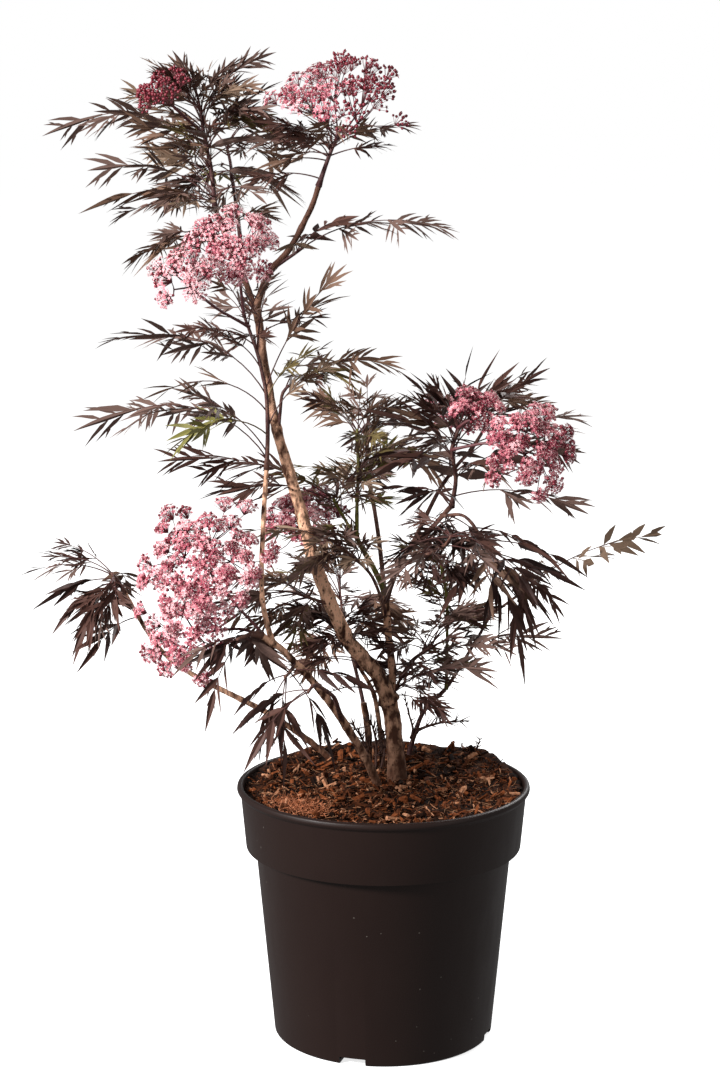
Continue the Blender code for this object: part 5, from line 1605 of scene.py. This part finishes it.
def tuft(rng, centre, outward, head, budded, reach):
    """One tuft of florets or buds on threads; how many it has."""
    side = outward.orthogonal().normalized()
    other = outward.cross(side)
    foot = centre - outward * reach * 0.9
    tint = rng.choices(list(PETAL_COLOURS), head.mix)[0]
    count = rng.randint(*head.florets)
    for k in range(count):
        out = math.sqrt((k + 0.5) / count)
        angle = k * SUNFLOWER_TURN + rng.uniform(-0.3, 0.3)
        offset = (side * math.cos(angle) + other * math.sin(angle)) * out * reach
        offset += outward * reach * (0.5 * (1 - out * out) + rng.uniform(-0.16, 0.14))
        place = centre + offset
        direction = (place - foot).normalized()
        threads.add(*tube(Stem([foot, place], [radius * MM for radius in THREAD_RADII], None), 3))
        if rng.random() < budded:
            size = BUD_RADIUS * rng.uniform(0.75, 1.2) * MM
            buds.copy(BUD, facing(direction, 0.0) * size, place)
        else:
            size = rng.uniform(*head.size) * MM
            if rng.random() < 0.3:
                tint = rng.choices(list(PETAL_COLOURS), head.mix)[0]
            turned = facing((direction + outward * 0.4).normalized(), rng.uniform(0, math.tau))
            petals[tint].copy(FLORET, turned * size, place)
            stamens.copy(STAMENS, turned * size, place)
    return count


def flower_head(name, umbel, stem):
    """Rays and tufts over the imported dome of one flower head; how many florets it has."""
    rng = random.Random(umbel.seed)
    head = HEADS.get(name, USUAL_HEAD)
    reach = head.tuft * MM
    hub = stem.points[-1] + HEAD_SHIFT.get(name, Vector())
    axis = Vector(umbel.axis).normalized()
    across = axis.cross(Vector((0.0, 1.0, 0.0))).normalized()
    along_it = axis.cross(across)
    radius, height = umbel.width * MM / 2, umbel.height * MM
    turn = rng.uniform(0, math.tau)

    def place(angle, out, level):
        direction = across * math.cos(angle) + along_it * math.sin(angle)
        return hub + direction * radius * out + axis * height * level

    forks = []
    for k in range(RAY_COUNT):
        fork = place(turn + math.tau * k / RAY_COUNT, 0.34, 0.42)
        forks.append(fork)
        rays.add(*tube(Stem([hub - axis * 2 * MM, fork], [0.8 * MM, 0.55 * MM], None), 5))
    count = max(6, round((radius / reach) ** 2 * TUFTS_TO_AREA))
    made = 0
    for k in range(count):
        spread = math.sqrt((k + 0.5) / count)
        angle = k * SUNFLOWER_TURN + turn
        wave = 0.5 - 0.5 * math.cos(umbel.lobes * angle + turn)
        out = spread * (1 - LOBE_DEPTH * wave) * 0.95
        level = 1.14 - 0.34 * out ** 2 - 0.2 * out ** 4 + rng.uniform(-0.2, 0.06)
        centre = place(angle, out, level)
        centre += Vector([rng.gauss(0, 1.9) for _ in range(3)]) * MM
        if rng.random() < MISSING_TUFTS:
            continue
        radial = (centre - hub - axis * (centre - hub).dot(axis)) / radius
        outward = (axis + radial * 1.1).normalized()
        foot = centre - outward * reach * 0.9
        fork = min(forks, key=lambda spot: (spot - foot).length)
        bent = fork.lerp(foot, 0.5) - axis * 1.5 * MM
        rays.add(*tube(Stem([fork, bent, foot], [0.55 * MM, 0.42 * MM, 0.3 * MM], None), 4))
        budded = head.budded
        if name == "blossom_top_right" and (centre - hub).x < OPEN_SIDE:
            budded = 0.15
        made += tuft(rng, centre, outward, head, budded, reach * rng.uniform(0.85, 1.1))
    return made


for name, umbel in UMBELS.items():
    rays.add(*swept_stem(stems[name], 7, 4 * MM, 0.04, False))
    floret_count += flower_head(name, umbel, stems[name])
print("florets and buds:", floret_count)
for tint, tone in PETAL_COLOURS.items():
    petals[tint].piece("petals_" + tint, Finish(
        "petal_" + tint, Base_Color=tone, Roughness=0.65), "blossom_pink", list(UMBELS))
stamens.piece("flower_stamens", Finish(
    "stamen_cream", Base_Color=colour(0.85, 0.72, 0.66), Roughness=0.7), "blossom_pink")
buds.piece("flower_buds", Finish(
    "bud_crimson", Base_Color=colour(0.20, 0.020, 0.034), Roughness=0.4), "blossom_pink",
    smooth=True)
rays.piece("flower_rays", Finish(
    "ray_red", Base_Color=colour(0.13, 0.038, 0.042), Roughness=0.5), "blossom_pink", smooth=True)
threads.piece("flower_threads", Finish(
    "thread_pink", Base_Color=colour(0.30, 0.085, 0.10), Roughness=0.6), "blossom_pink")

# %% [markdown]
# A few dead twigs stand at the foot of the plant: remains of last year's shoots, set with
# short stubs. They are small, but they are what makes the base look grown and not planted.

# %% Dead twigs
Twig = namedtuple("Twig", "foot tip stubs reach route")
TWIGS = [
    Twig(1.6, 0.6, 3, (7, 16), [(24, 79, 214), (28, 78, 223), (46, 76, 230), (66, 75, 232)]),
    Twig(1.2, 0.4, 2, (4, 9), [(22, 79, 216), (24, 78, 224), (20, 78, 239), (17, 78, 252)]),
    Twig(0.8, 0.4, 1, (3, 6), [(6, 22, 262), (-10, 18, 272), (-27, 18, 274), (-42, 19, 270)]),
    Twig(1.0, 0.4, 1, (3, 7), [(31, 79, 236), (31, 79, 246), (28, 79, 267)]),
    Twig(0.7, 0.4, 2, (3, 7), [(74, 66, 206), (76, 66, 212), (78, 65, 219)]),
    Twig(1.2, 0.6, 4, (6, 13), [(-10, 46, 200), (-15, 46, 220), (-24, 44, 236)]),
    Twig(1.2, 0.6, 4, (6, 13), [(-6, 46, 200), (-6, 44, 222), (-10, 43, 240)]),
    Twig(1.0, 0.6, 4, (5, 11), [(-2, 44, 200), (1, 42, 218), (0, 40, 232)]),
]
TWIG_STEP = 4 * MM
STUB_RADII = (0.65, 0.15)

twigs = Sheaf()
rng = random.Random(71)
for twig in TWIGS:
    line = smooth_route([real(place) for place in twig.route], TWIG_STEP)
    last = len(line) - 1
    radii = [(twig.foot + (twig.tip - twig.foot) * k / last) * MM for k in range(last + 1)]
    twigs.add(*tube(Stem(line, radii, None), 6))
    for k in range(last // 3, last + 1):
        heading = (line[k] - line[k - 1]).normalized()
        for _ in range(twig.stubs):
            aside = Vector((rng.gauss(0, 1), rng.gauss(0, 1), rng.gauss(0.5, 0.7))).normalized()
            end = line[k] + (heading * 0.7 + aside).normalized() * rng.uniform(*twig.reach) * MM
            twigs.add(*tube(Stem([line[k], end], [radius * MM for radius in STUB_RADII], None),
                            4))
twigs.piece("dead_twigs", bark_finish(
    "dead_twig", colour(0.17, 0.095, 0.065), colour(0.07, 0.035, 0.028),
    colour(0.07, 0.035, 0.028), colour(0.045, 0.025, 0.02), 0.6), "young_bark", smooth=True)
